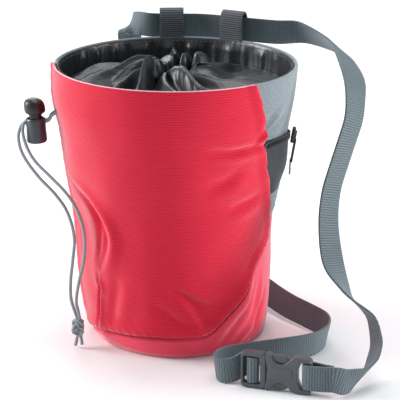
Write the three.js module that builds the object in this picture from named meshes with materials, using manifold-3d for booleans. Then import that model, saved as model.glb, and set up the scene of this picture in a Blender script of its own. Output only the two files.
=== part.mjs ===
// A climbing chalk bag standing on the floor, with its waist belt fastened and laid beside it.
// Millimetres, +Z up. The bag's front faces -Y, its two belt loops are at +Y, and the origin is the middle
// of its underside. Angles round the bag are in degrees from the front, growing towards +X.
import * as THREE from 'three';
import { mergeVertices } from 'three/addons/utils/BufferGeometryUtils.js';
import Module from 'manifold-3d';

const wasm = await Module();
wasm.setup();

// Driving sizes of the bag
const BAG_HEIGHT = 168;
const MOUTH_RADIUS = 72.5;
const CLOTH = 2;
const LINING_CLOTH = 1.2;
const COLLAR_CLOTH = 1.6;
const CLEARANCE = 0.3;
const LINING_DEPTH = 22;
const COLLAR_DROP = 15;
const CINCH_HOLE_RADIUS = 8;

// Driving sizes of the belt and its buckle
const WEB_WIDTH = 15;
const WEB_THICKNESS = 1.5;
const LOOP_WIDTH = 15;
const LOOP_THICKNESS = 1.2;
const LOOP_ROOM = 1.6;
const LOOP_RISE = 3.5;
const LOOP_ANGLE = 15.7;
const LOOP_TAIL = 20;
const BUCKLE_LENGTH = 42;
const BUCKLE_WIDTH = 22;
const BUCKLE_THICKNESS = 5.2;
const PRONG_THICKNESS = 2.2;

// Driving sizes of the pocket, the drawstring and its cord lock
const POCKET_CLOTH = 1.4;
const POCKET_STAND = 0.6;
const ZIP_WIDTH = 5;
const PULL_LENGTH = 15;
const CORD_DIAMETER = 2;
const LOCK_RADIUS = 6.2;
const LOCK_HEIGHT = 15;
const LOCK_WALL = 1.6;
const BUTTON_HEAD_HEIGHT = 8.7;
const BUTTON_TRAVEL = 3;
const KNOT_RADIUS = 4.6;

// The belt, the buckle and the drawstring are laid square to a line that is turned from the bag's own front.
const LAID_TURN = 13;

const RED = { color: 0xd9203f, roughness: 0.8, metalness: 0 };
const PLAIN_RED = { color: 0xc81c3a, roughness: 0.82, metalness: 0 };
const MELANGE = { color: 0x96a3aa, roughness: 0.85, metalness: 0 };
const DARK_CLOTH = { color: 0x3e444c, roughness: 0.7, metalness: 0 };
const SLATE_NYLON = { color: 0x2a2f37, roughness: 0.5, metalness: 0 };
const BLACK_WEB = { color: 0x2d3034, roughness: 0.8, metalness: 0 };
const GREY_WEB = { color: 0x5a6970, roughness: 0.75, metalness: 0 };
const GREY_PLASTIC = { color: 0x5f6169, roughness: 0.4, metalness: 0 };
const BLACK_PLASTIC = { color: 0x14171c, roughness: 0.25, metalness: 0 };
const LOCK_PLASTIC = { color: 0x464e55, roughness: 0.35, metalness: 0 };
const CORD_GREY = { color: 0x828e92, roughness: 0.8, metalness: 0 };

// Outline of the bag: its radius and how far its middle leans to the right, as shares of the mouth's radius.
const SECTIONS = [
  { up: 0, radius: 0.735, lean: 0.02 },
  { up: 0.06, radius: 0.764, lean: 0.007 },
  { up: 0.12, radius: 0.782, lean: 0 },
  { up: 0.21, radius: 0.797, lean: -0.006 },
  { up: 0.3, radius: 0.808, lean: -0.011 },
  { up: 0.42, radius: 0.829, lean: -0.018 },
  { up: 0.54, radius: 0.857, lean: -0.022 },
  { up: 0.65, radius: 0.903, lean: -0.019 },
  { up: 0.77, radius: 0.949, lean: -0.015 },
  { up: 0.86, radius: 0.984, lean: -0.012 },
  { up: 0.93, radius: 0.996, lean: -0.005 },
  { up: 1, radius: 1, lean: 0 },
];

// Dents and swells of the outer cloth: how far it goes in, as a share of the mouth's radius.
const DENTS = [
  { around: -52, up: 0.4, wide: 17, tall: 0.15, depth: 0.05 },
  { around: -26, up: 0.45, wide: 9, tall: 0.13, depth: -0.018 },
  { around: -42, up: 0.2, wide: 10, tall: 0.06, depth: 0.025 },
  { around: 42, up: 0.27, wide: 11, tall: 0.09, depth: 0.022 },
  { around: 60, up: 0.2, wide: 8, tall: 0.08, depth: -0.02 },
  { around: 73, up: 0.09, wide: 6, tall: 0.09, depth: 0.035 },
  { around: 66, up: 0.8, wide: 5, tall: 0.07, depth: 0.014 },
  { around: 150, up: 0.4, wide: 25, tall: 0.18, depth: 0.025 },
  { around: 215, up: 0.5, wide: 22, tall: 0.16, depth: 0.02 },
];

// The front panel's left edge, and its right edge, which swings back as it goes down.
const LEFT_SEAM = -77;
const RIGHT_SEAM = [
  { up: 0.38, around: 82.3 },
  { up: 0.45, around: 82 },
  { up: 0.54, around: 76.8 },
  { up: 0.67, around: 68.4 },
  { up: 0.79, around: 62.5 },
  { up: 0.9, around: 58 },
  { up: 1, around: 52.4 },
];

// The top edge of the plain red base panel, under the front panel and under the side and back panel.
const FRONT_SEAM = [
  { around: -77, up: 0.022 },
  { around: -49, up: 0.057 },
  { around: -33, up: 0.075 },
  { around: -16, up: 0.084 },
  { around: 0, up: 0.09 },
  { around: 15, up: 0.09 },
  { around: 30, up: 0.092 },
  { around: 36, up: 0.108 },
  { around: 42, up: 0.14 },
  { around: 51, up: 0.187 },
  { around: 61, up: 0.248 },
  { around: 70, up: 0.318 },
  { around: 83, up: 0.385 },
];
const BACK_SEAM = [
  { around: 82, up: 0.445 },
  { around: 100, up: 0.56 },
  { around: 125, up: 0.6 },
  { around: 180, up: 0.61 },
  { around: 240, up: 0.6 },
  { around: 283, up: 0.57 },
];

// The zip pocket, from the right seam round to its far end.
const POCKET_END = 142;
const POCKET = [
  { across: 0, low: 0.556, high: 0.775 },
  { across: 0.15, low: 0.55, high: 0.78 },
  { across: 0.35, low: 0.54, high: 0.765 },
  { across: 0.55, low: 0.55, high: 0.745 },
  { across: 0.8, low: 0.58, high: 0.72 },
  { across: 1, low: 0.61, high: 0.7 },
];
const SLIDER_PLACE = 0.43;

// Radial folds of the gathered collar, from the lining in to the cinched hole. Heights are shares of the
// collar's drop, and a fold leans round the bag by its twist in degrees.
const COLLAR_FOLDS = 13;
const COLLAR_SECTIONS = [
  { inward: 0, rise: 0, fold: 0.05, twist: 0 },
  { inward: 0.14, rise: 0.12, fold: 0.14, twist: 2 },
  { inward: 0.3, rise: 0.1, fold: 0.2, twist: 6 },
  { inward: 0.46, rise: 0.14, fold: 0.2, twist: 12 },
  { inward: 0.6, rise: 0.28, fold: 0.22, twist: 19 },
  { inward: 0.74, rise: 0.5, fold: 0.2, twist: 27 },
  { inward: 0.87, rise: 0.54, fold: 0.16, twist: 36 },
  { inward: 1, rise: 0.2, fold: 0.08, twist: 44 },
];
const CINCH_HOLE = { right: -0.07, back: 0.16 };
const LINING_PLEATS = 18;
const PLEAT_DEPTH = 1.5;

const { degToRad, radToDeg, lerp, clamp } = THREE.MathUtils;

function readTable(table, key, column, at) {
  const last = table.length - 1;
  let i = 0;
  while (i < last - 1 && at > table[i + 1][key]) i += 1;
  const [here, next] = [table[i], table[i + 1]];
  const [before, after] = [table[Math.max(i - 1, 0)], table[Math.min(i + 2, last)]];
  const span = next[key] - here[key];
  const t = clamp((at - here[key]) / span, 0, 1);
  const slopeHere = ((next[column] - before[column]) / (next[key] - before[key])) * span;
  const slopeNext = ((after[column] - here[column]) / (after[key] - here[key])) * span;
  const [t2, t3] = [t * t, t * t * t];
  return (
    (2 * t3 - 3 * t2 + 1) * here[column] +
    (t3 - 2 * t2 + t) * slopeHere +
    (3 * t2 - 2 * t3) * next[column] +
    (t3 - t2) * slopeNext
  );
}

// The outer face of the bag's cloth. outward is the distance from it along the radius.
function bagRadius(around, z) {
  const up = z / BAG_HEIGHT;
  let radius = readTable(SECTIONS, 'up', 'radius', up);
  for (const dent of DENTS) {
    const turned = THREE.MathUtils.euclideanModulo(around - dent.around + 180, 360) - 180;
    radius -= dent.depth * Math.exp(-((turned / dent.wide) ** 2) - ((up - dent.up) / dent.tall) ** 2);
  }
  return radius * MOUTH_RADIUS;
}

function bagPoint(around, z, outward) {
  const radius = bagRadius(around, z) + outward;
  const lean = MOUTH_RADIUS * readTable(SECTIONS, 'up', 'lean', z / BAG_HEIGHT);
  const turn = degToRad(around);
  return new THREE.Vector3(lean + radius * Math.sin(turn), -radius * Math.cos(turn), z);
}

// Half of the gap between two cloth edges, as an angle round the bag.
const EDGE_TURN = radToDeg(CLEARANCE / 2 / (MOUTH_RADIUS * SECTIONS[0].radius)) * 1.3;
const FRONT_COLUMNS = 24;
const BACK_COLUMNS = 28;

const rightSeam = (z) => readTable(RIGHT_SEAM, 'up', 'around', z / BAG_HEIGHT);
const frontSeam = (around) => BAG_HEIGHT * readTable(FRONT_SEAM, 'around', 'up', around);
const backSeam = (around) => BAG_HEIGHT * readTable(BACK_SEAM, 'around', 'up', around);
const SEAM_CORNER = RIGHT_SEAM[0].around;

// Where the columns of the two upper panels stand along the base panel's top edge.
const frontColumn = (across) => lerp(LEFT_SEAM + EDGE_TURN, SEAM_CORNER - EDGE_TURN, across);
const backColumn = (across) => lerp(SEAM_CORNER + EDGE_TURN, LEFT_SEAM + 360 - EDGE_TURN, across);

// A three.js shape with each of its points moved to where place puts it.
function shaped(source, place) {
  source.deleteAttribute('normal');
  source.deleteAttribute('uv');
  const position = source.getAttribute('position');
  const point = new THREE.Vector3();
  for (let i = 0; i < position.count; i += 1) {
    point.fromBufferAttribute(position, i);
    const moved = place(point, i);
    position.setXYZ(i, moved.x, moved.y, moved.z);
  }
  const geometry = mergeVertices(source, 1e-3);
  geometry.computeVertexNormals();
  return geometry;
}

// A piece of cloth with thickness: place gets the shares across, up and outwards, each from 0 to 1.
function clothPiece(columns, rows, place) {
  const box = new THREE.BoxGeometry(1, 1, 1, columns, rows, 1);
  return shaped(box, (p) => place(p.x + 0.5, p.y + 0.5, p.z + 0.5));
}

// A closed ring or bowl round the bag: place gets the angle and the row of the profile.
function roundPiece(angles, profile, place) {
  const outline = profile.map((row) => new THREE.Vector2(row.lathe[0], row.lathe[1]));
  const lathe = new THREE.LatheGeometry(outline, angles.length);
  return shaped(lathe, (p, i) => {
    const turn = angles[Math.floor(i / profile.length) % angles.length];
    return place(turn, profile[i % profile.length]);
  });
}

function evenAngles(count) {
  return Array.from({ length: count }, (unused, i) => (360 * i) / count);
}

function named(name, geometry, finish) {
  const mesh = new THREE.Mesh(geometry, new THREE.MeshStandardMaterial(finish));
  mesh.name = name;
  return mesh;
}

function frontPanel() {
  const geometry = clothPiece(FRONT_COLUMNS, 11, (across, rise, out) => {
    const lowAround = frontColumn(across);
    const lowZ = frontSeam(lowAround);
    const z = lerp(lowZ, BAG_HEIGHT, rise);
    const around = lowAround + across * (rightSeam(z) - rightSeam(lowZ));
    return bagPoint(around, z, (out - 1) * CLOTH);
  });
  return named('front_panel', geometry, RED);
}

function sideBackPanel() {
  const geometry = clothPiece(BACK_COLUMNS, 7, (across, rise, out) => {
    const lowAround = backColumn(across);
    const lowZ = backSeam(lowAround);
    const z = lerp(lowZ, BAG_HEIGHT, rise);
    const swing = (1 - across) ** 3;
    const around = lowAround + swing * (rightSeam(z) - rightSeam(lowZ));
    return bagPoint(around, z, (out - 1) * CLOTH);
  });
  return named('side_back_panel', geometry, MELANGE);
}

// The base panel is a bowl. Its top edge steps up where the front panel's two side edges meet it.
function basePanel() {
  const turns = [
    ...Array.from({ length: FRONT_COLUMNS + 1 }, (unused, i) => frontColumn(i / FRONT_COLUMNS)),
    ...Array.from({ length: BACK_COLUMNS + 1 }, (unused, i) => backColumn(i / BACK_COLUMNS)),
  ];
  turns[0] -= EDGE_TURN;
  turns[FRONT_COLUMNS] += EDGE_TURN;
  turns[FRONT_COLUMNS + 1] += 2 * EDGE_TURN;
  turns[turns.length - 1] -= 2 * EDGE_TURN;
  const top = (turn) => (turn <= SEAM_CORNER ? frontSeam(turn) : backSeam(turn)) - CLEARANCE;
  const sole = 0.93;
  const wall = [0.12, 0.3, 0.5, 0.75, 1];
  const profile = [
    { lathe: [0, 0], floor: 0, height: 0 },
    { lathe: [0.5, 0], floor: 0.5, height: 0 },
    { lathe: [sole, 0], floor: sole, height: 0 },
    ...wall.map((rise) => ({ lathe: [1, rise], rise, out: 0 })),
    ...wall.map((rise) => ({ lathe: [0.9, rise], rise, out: -CLOTH })).reverse(),
    { lathe: [sole - 0.06, 0.05], floor: sole - 0.04, height: CLOTH },
    { lathe: [0.5, 0.05], floor: 0.5, height: CLOTH },
    { lathe: [0, 0.05], floor: 0, height: CLOTH },
  ];
  const geometry = roundPiece(turns, profile, (turn, row) => {
    if (row.floor === undefined) {
      const lowest = row.out < 0 ? CLOTH : 0;
      return bagPoint(turn, lowest + row.rise * (top(turn) - lowest), row.out);
    }
    const edge = bagPoint(turn, 0, 0);
    const middle = MOUTH_RADIUS * SECTIONS[0].lean;
    return new THREE.Vector3(lerp(middle, edge.x, row.floor), edge.y * row.floor, row.height);
  });
  return named('base_panel', geometry, PLAIN_RED);
}

// The lining's outer face, clear of the flat facets of the panels round it.
const LINING_FACE = -(CLOTH + 2 * CLEARANCE);

function liningInner(turn, z) {
  const pleat = PLEAT_DEPTH * (0.5 + 0.5 * Math.cos(degToRad(turn * LINING_PLEATS)));
  const flat = clamp((BAG_HEIGHT - z) / LINING_DEPTH, 0.15, 1);
  return LINING_FACE - LINING_CLOTH - pleat * flat;
}

function rimLining() {
  const bottom = BAG_HEIGHT - LINING_DEPTH;
  const profile = [
    { lathe: [1, 0], drop: 1, inner: false },
    { lathe: [1, 1], drop: 0, inner: false },
    { lathe: [0.9, 1], drop: 0, inner: true },
    { lathe: [0.9, 0.5], drop: 0.45, inner: true },
    { lathe: [0.9, 0], drop: 1, inner: true },
    { lathe: [1, 0], drop: 1, inner: false },
  ];
  const geometry = roundPiece(evenAngles(LINING_PLEATS * 4), profile, (turn, row) => {
    const z = lerp(BAG_HEIGHT, bottom, row.drop);
    return bagPoint(turn, z, row.inner ? liningInner(turn, z) : LINING_FACE);
  });
  return named('rim_lining', geometry, SLATE_NYLON);
}

function collarTop(turn, row) {
  const level = BAG_HEIGHT - COLLAR_DROP;
  const edge = bagPoint(turn, level, liningInner(turn, level - COLLAR_CLOTH) - 2 * CLEARANCE);
  const swirl = degToRad(turn + row.twist);
  const hole = new THREE.Vector3(
    MOUTH_RADIUS * CINCH_HOLE.right + CINCH_HOLE_RADIUS * Math.sin(degToRad(turn)),
    MOUTH_RADIUS * CINCH_HOLE.back - CINCH_HOLE_RADIUS * Math.cos(degToRad(turn)),
    level,
  );
  const point = edge.lerp(hole, row.inward);
  const uneven = 0.75 + 0.25 * Math.cos(2 * swirl + 1) + 0.25 * Math.sin(5 * swirl);
  const bend = Math.cos(COLLAR_FOLDS * swirl) + 0.4 * Math.sin(3 * swirl + 0.6);
  point.z += COLLAR_DROP * (row.rise * uneven + row.fold * bend);
  return point;
}

function drawstringCollar() {
  const top = COLLAR_SECTIONS.map((row, i) => ({ ...row, lathe: [2 - i * 0.1, 1], under: 0 }));
  const under = top.map((row) => ({ ...row, lathe: [row.lathe[0], 0.5], under: COLLAR_CLOTH })).reverse();
  const geometry = roundPiece(evenAngles(LINING_PLEATS * 4), [...under, ...top, under[0]], (turn, row) => {
    const point = collarTop(turn, row);
    point.z -= row.under;
    return point;
  });
  return named('drawstring_collar', geometry, SLATE_NYLON);
}

function pocketTurn(across, z) {
  return lerp(rightSeam(z) + 6 * EDGE_TURN, POCKET_END, across);
}

const pocketHeight = (across, edge) => BAG_HEIGHT * readTable(POCKET, 'across', edge, across);

function pocketPanel() {
  const geometry = clothPiece(14, 4, (across, rise, out) => {
    const top = pocketHeight(across, 'high') - ZIP_WIDTH - CLEARANCE;
    const z = lerp(pocketHeight(across, 'low'), top, rise);
    return bagPoint(pocketTurn(across, z), z, POCKET_STAND + out * POCKET_CLOTH);
  });
  return named('pocket_panel', geometry, DARK_CLOTH);
}

function pocketZip() {
  const geometry = clothPiece(16, 2, (across, rise, out) => {
    const z = pocketHeight(across, 'high') - ZIP_WIDTH * (1 - rise);
    return bagPoint(pocketTurn(across, z), z, POCKET_STAND + out * POCKET_CLOTH);
  });
  return named('pocket_zip', geometry, BLACK_WEB);
}

// A group on the bag's side: its own +X runs round the bag, -Y points away from the cloth and +Z up along it.
function onBag(around, z, outward) {
  const group = new THREE.Group();
  const flare = Math.atan((bagRadius(around, z + ZIP_WIDTH) - bagRadius(around, z - ZIP_WIDTH)) / (2 * ZIP_WIDTH));
  group.position.copy(bagPoint(around, z, outward));
  group.rotation.order = 'ZYX';
  group.rotation.set(flare, 0, degToRad(around));
  return group;
}

// An outline in the upright plane, given its depth along Y about the middle. Its first axis is X, its second Z.
function uprightPlate(shape, depth) {
  const plate = new THREE.ExtrudeGeometry(shape, { depth, bevelEnabled: false, curveSegments: 3 });
  return shaped(plate, (p) => new THREE.Vector3(p.x, depth / 2 - p.z, p.y));
}

function roundedPlate(left, bottom, width, height, corner) {
  const [right, top] = [left + width, bottom + height];
  const shape = new THREE.Shape();
  shape.moveTo(left + corner, bottom);
  shape.lineTo(right - corner, bottom);
  shape.absarc(right - corner, bottom + corner, corner, -Math.PI / 2, 0);
  shape.lineTo(right, top - corner);
  shape.absarc(right - corner, top - corner, corner, 0, Math.PI / 2);
  shape.lineTo(left + corner, top);
  shape.absarc(left + corner, top - corner, corner, Math.PI / 2, Math.PI);
  shape.lineTo(left, bottom + corner);
  shape.absarc(left + corner, bottom + corner, corner, Math.PI, 1.5 * Math.PI);
  return shape;
}

// The slider straddles the zip, and its pull hangs beside the pocket with a thin cord loop in its end.
function zipSlider() {
  const width = ZIP_WIDTH + 1;
  const slider = roundedPlate(-width / 2, -width * 0.8, width, width * 1.6, width * 0.3);
  const pull = roundedPlate(-width * 0.3, -width * 0.4 - PULL_LENGTH, width * 0.6, PULL_LENGTH, width * 0.25);
  const body = asSolid(uprightPlate(slider, 2.2));
  const hanging = asSolid(uprightPlate(pull, 2).translate(0, -1.6, 0));
  return named('zip_slider', fromSolid(body.add(hanging)), BLACK_PLASTIC);
}

function zipPullLoop() {
  const end = -(ZIP_WIDTH + 1) * 0.4 - PULL_LENGTH - CLEARANCE;
  const radius = 0.7;
  const loop = new THREE.TorusGeometry(2.6, radius, 6, 12);
  const geometry = shaped(loop, (p) => new THREE.Vector3(p.x * 0.75, -1.6 - p.z, end - 6.2 + p.y * 1.8));
  return named('zip_pull_loop', geometry, CORD_GREY);
}

function pocketHardware() {
  const z = pocketHeight(SLIDER_PLACE, 'high') - ZIP_WIDTH / 2;
  const group = onBag(pocketTurn(SLIDER_PLACE, z), z, POCKET_STAND + POCKET_CLOTH + 1.5 * CLEARANCE + 1.1);
  group.add(zipSlider(), zipPullLoop());
  return group;
}

function asSolid(geometry) {
  const bare = geometry.clone();
  bare.deleteAttribute('normal');
  bare.deleteAttribute('uv');
  const merged = mergeVertices(bare, 1e-3);
  return new wasm.Manifold(
    new wasm.Mesh({
      numProp: 3,
      vertProperties: new Float32Array(merged.getAttribute('position').array),
      triVerts: new Uint32Array(merged.index.array),
    }),
  );
}

function fromSolid(solid) {
  const mesh = solid.getMesh();
  const geometry = new THREE.BufferGeometry();
  geometry.setAttribute('position', new THREE.BufferAttribute(mesh.vertProperties, 3));
  geometry.setIndex(new THREE.BufferAttribute(mesh.triVerts, 1));
  geometry.computeVertexNormals();
  return geometry;
}

// Belt loops: a strap from the top edge of the lining, over the belt and down to the back panel.
const BELT_RADIUS = MOUTH_RADIUS + CLEARANCE + 2.4 + WEB_THICKNESS / 2;
const BELT_AT_LOOPS = BAG_HEIGHT + 5.5;

function strapOutline(path, thickness) {
  const curve = new THREE.SplineCurve(path);
  const count = 18;
  const side = (sign) =>
    Array.from({ length: count + 1 }, (unused, i) => {
      const point = curve.getPoint(i / count);
      const tangent = curve.getTangent(i / count);
      return new THREE.Vector2(point.x - tangent.y * sign, point.y + tangent.x * sign);
    });
  return new THREE.Shape([...side(-thickness / 2), ...side(thickness / 2).reverse()]);
}

function beltLoop(name, around) {
  const wallTop = MOUTH_RADIUS - CLOTH - CLEARANCE;
  const crown = BELT_AT_LOOPS + WEB_WIDTH / 2 + LOOP_RISE + LOOP_THICKNESS / 2;
  const front = wallTop + 0.2;
  const back = BELT_RADIUS + WEB_THICKNESS / 2 + LOOP_ROOM + LOOP_THICKNESS / 2;
  const middle = (front + back) / 2;
  const seat = bagRadius(around, BAG_HEIGHT - LOOP_TAIL) + 2 * CLEARANCE + LOOP_THICKNESS / 2;
  const path = [
    new THREE.Vector2(front, BAG_HEIGHT + CLEARANCE),
    new THREE.Vector2(front, lerp(BAG_HEIGHT, crown, 0.6)),
    new THREE.Vector2(lerp(front, middle, 0.3), crown - LOOP_ROOM),
    new THREE.Vector2(middle, crown),
    new THREE.Vector2(lerp(back, middle, 0.3), crown - LOOP_ROOM),
    new THREE.Vector2(back, lerp(BAG_HEIGHT, crown, 0.6)),
    new THREE.Vector2(back, BELT_AT_LOOPS - WEB_WIDTH / 2 - LOOP_ROOM),
    new THREE.Vector2(lerp(back, seat, 0.5), BAG_HEIGHT - LOOP_TAIL * 0.45),
    new THREE.Vector2(seat, BAG_HEIGHT - LOOP_TAIL * 0.75),
    new THREE.Vector2(seat, BAG_HEIGHT - LOOP_TAIL),
  ];
  const options = { depth: LOOP_WIDTH, bevelEnabled: false };
  const strap = new THREE.ExtrudeGeometry(strapOutline(path, LOOP_THICKNESS), options);
  const geometry = shaped(strap, (p) => new THREE.Vector3(LOOP_WIDTH / 2 - p.z, -p.x, p.y));
  const mesh = named(name, geometry, BLACK_WEB);
  mesh.rotation.z = degToRad(around);
  return mesh;
}

// The belt's way in the laid group, right and back as shares of the mouth's radius and up as a share of the
// bag's height above a strap that stands on its edge. The last three columns are the way its width points.
const BELT_ROUTE = [
  { right: 0.45, back: -1.215, up: 0.005, width: [0, 0, 1] },
  { right: 0.37, back: -1.2, up: 0, width: [-0.1, 0, 1] },
  { right: 0.325, back: -1.13, up: 0, width: [-0.15, 0, 1] },
  { right: 0.345, back: -1.03, up: 0, width: [0, 0, 1] },
  { right: 0.43, back: -0.95, up: 0, width: [0, 0, 1] },
  { right: 0.63, back: -0.87, up: 0, width: [0, 0, 1] },
  { right: 0.87, back: -0.79, up: 0, width: [0, 0, 1] },
  { right: 1.062, back: -0.711, up: 0, width: [0.1, 0, 1] },
  { right: 1.17, back: -0.62, up: 0, width: [0.15, 0, 1] },
  { right: 1.255, back: -0.45, up: 0, width: [0.2, 0, 1] },
  { right: 1.24, back: -0.24, up: 0, width: [0.3, 0.1, 0.95] },
  { right: 1.115, back: -0.045, up: 0.002, width: [0.45, 0.2, 0.87] },
  { right: 0.96, back: 0.17, up: 0.004, width: [0.5, 0.26, 0.82] },
  { right: 0.8, back: 0.44, up: 0.012, width: [0.52, 0.26, 0.81] },
  { right: 0.64, back: 0.73, up: 0.03, width: [0.6, 0.2, 0.77] },
  { right: 0.43, back: 1, up: 0.1, width: [0.75, 0.1, 0.65] },
  { right: 0.16, back: 1.18, up: 0.25, width: [0.9, 0.05, 0.4] },
  { right: -0.13, back: 1.25, up: 0.47, width: [0.97, 0, 0.22] },
  { right: -0.33, back: 1.27, up: 0.7, width: [1, 0, 0.1] },
  { right: -0.415, back: 1.255, up: 0.89, width: [0.9, 0, 0.4] },
  { right: -0.424, back: 1.18, up: 0.975, width: [0.65, 0, 0.75] },
  { right: -0.34, back: 1.095, up: 0.992, width: [0.3, 0, 0.95] },
  { right: -0.24, back: 1.048, up: 0.991, width: [0.08, 0, 1] },
  { right: -0.08, back: 1.053, up: 0.989, width: [0, 0, 1] },
  { right: 0.22, back: 1.035, up: 0.989, width: [0, 0, 1] },
  { right: 0.485, back: 0.94, up: 0.988, width: [0, 0, 1] },
  { right: 0.64, back: 0.865, up: 0.988, width: [0, 0, 1] },
  { right: 0.863, back: 0.815, up: 0.984, width: [-0.1, 0, 1] },
  { right: 1.094, back: 0.79, up: 0.983, width: [-0.3, -0.3, 0.9] },
  { right: 1.337, back: 0.469, up: 0.963, width: [-0.4, -0.65, 0.62] },
  { right: 1.386, back: 0.193, up: 0.959, width: [-0.57, -0.75, 0.35] },
  { right: 1.444, back: -0.11, up: 0.912, width: [-0.8, -0.57, 0.19] },
  { right: 1.449, back: -0.276, up: 0.86, width: [-0.77, -0.61, 0.2] },
  { right: 1.434, back: -0.359, up: 0.791, width: [-0.75, -0.63, 0.2] },
  { right: 1.383, back: -0.4, up: 0.717, width: [-0.75, -0.63, 0.2] },
  { right: 1.318, back: -0.414, up: 0.624, width: [-0.75, -0.63, 0.2] },
  { right: 1.259, back: -0.441, up: 0.529, width: [-0.75, -0.63, 0.2] },
  { right: 1.239, back: -0.524, up: 0.423, width: [-0.79, -0.58, 0.19] },
  { right: 1.271, back: -0.662, up: 0.308, width: [-0.85, -0.5, 0.16] },
  { right: 1.348, back: -0.786, up: 0.239, width: [-0.5, -0.79, 0.34] },
  { right: 1.404, back: -0.85, up: 0.206, width: [-0.2, -0.9, 0.39] },
  { right: 1.554, back: -0.939, up: 0.15, width: [0.18, -0.91, 0.36] },
  { right: 1.596, back: -1.049, up: 0.085, width: [0.29, -0.78, 0.54] },
  { right: 1.574, back: -1.141, up: 0.046, width: [0.45, -0.55, 0.7] },
  { right: 1.529, back: -1.218, up: 0.016, width: [0.42, -0.56, 0.71] },
  { right: 1.456, back: -1.329, up: 0.003, width: [0.26, -0.57, 0.79] },
  { right: 1.336, back: -1.451, up: 0.006, width: [0, 0, 1] },
];

// The buckle lies in the laid group, standing on its long edge. Along is a share of its length from its
// middle, out is the way to its front in thicknesses of the webbing.
const BUCKLE_PLACE = { right: 0.807, back: -1.338, turn: -18 };
const BARS = {
  outer: [-0.512, -0.464],
  ladder: [-0.381, -0.319],
  cross: [-0.252, -0.186],
  slot: [0.262, 0.395],
  end: [0.395, 0.476],
};
const LADDER_ROUTE = [
  { along: -0.5, out: -4.25 },
  { along: -0.46, out: -3.4 },
  { along: -0.425, out: -2.1 },
  { along: -0.424, out: -0.5 },
  { along: -0.412, out: 0.7 },
  { along: -0.386, out: 1.5 },
  { along: -0.35, out: 1.65 },
  { along: -0.312, out: 1.4 },
  { along: -0.286, out: 0.6 },
  { along: -0.283, out: -0.4 },
  { along: -0.3, out: -1.35 },
  { along: -0.345, out: -2.2 },
];
const SEWN_ROUTE = [
  { along: 0.8, out: 0.5 },
  { along: 0.64, out: 1.5 },
  { along: 0.5, out: 2 },
  { along: 0.425, out: 2 },
  { along: 0.375, out: 1.4 },
  { along: 0.352, out: 0 },
  { along: 0.375, out: -1.4 },
  { along: 0.425, out: -2 },
  { along: 0.5, out: -1.9 },
  { along: 0.64, out: -1 },
  { along: 0.76, out: -0.55 },
];

function buckleGroup() {
  const group = new THREE.Group();
  group.position.set(
    MOUTH_RADIUS * BUCKLE_PLACE.right,
    MOUTH_RADIUS * BUCKLE_PLACE.back,
    BUCKLE_WIDTH / 2 + CLEARANCE,
  );
  group.rotation.z = degToRad(BUCKLE_PLACE.turn);
  group.updateMatrix();
  return group;
}

function besideBuckle(row) {
  const point = new THREE.Vector3(row.along * BUCKLE_LENGTH, -row.out * WEB_THICKNESS, 0);
  return point.applyMatrix4(buckleGroup().matrix);
}

function waistBelt() {
  const upright = new THREE.Vector3(0, 0, 1);
  const stations = [
    ...[...LADDER_ROUTE].reverse().map((row) => ({ point: besideBuckle(row), width: upright })),
    ...BELT_ROUTE.map((row) => ({
      point: new THREE.Vector3(
        row.right * MOUTH_RADIUS,
        row.back * MOUTH_RADIUS,
        WEB_WIDTH / 2 + CLEARANCE + row.up * BAG_HEIGHT,
      ),
      width: new THREE.Vector3(...row.width),
    })),
    ...SEWN_ROUTE.map((row) => ({ point: besideBuckle(row), width: upright })),
  ];
  const curve = new THREE.CatmullRomCurve3(stations.map((station) => station.point), false, 'centripetal');
  const spans = stations.length - 1;
  const frames = Array.from({ length: spans * 2 + 1 }, (unused, i) => {
    const t = i / (spans * 2);
    const here = Math.min(Math.floor(i / 2), spans - 1);
    const tangent = curve.getTangent(t);
    const width = stations[here].width.clone().lerp(stations[here + 1].width, i / 2 - here);
    width.addScaledVector(tangent, -width.dot(tangent)).normalize();
    return { point: curve.getPoint(t), width, face: width.clone().cross(tangent) };
  });
  const band = new THREE.BoxGeometry(1, 1, 1, 1, frames.length - 1, 1);
  const geometry = shaped(band, (p) => {
    const frame = frames[Math.round((p.y + 0.5) * (frames.length - 1))];
    return frame.point
      .clone()
      .addScaledVector(frame.width, p.x * WEB_WIDTH)
      .addScaledVector(frame.face, p.z * WEB_THICKNESS);
  });
  return named('waist_belt', geometry, GREY_WEB);
}

function bar(from, to, height, depth) {
  const shape = roundedPlate(from, -height / 2, to - from, height, Math.min(to - from, height) * 0.2);
  return asSolid(uprightPlate(shape, depth));
}

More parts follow.
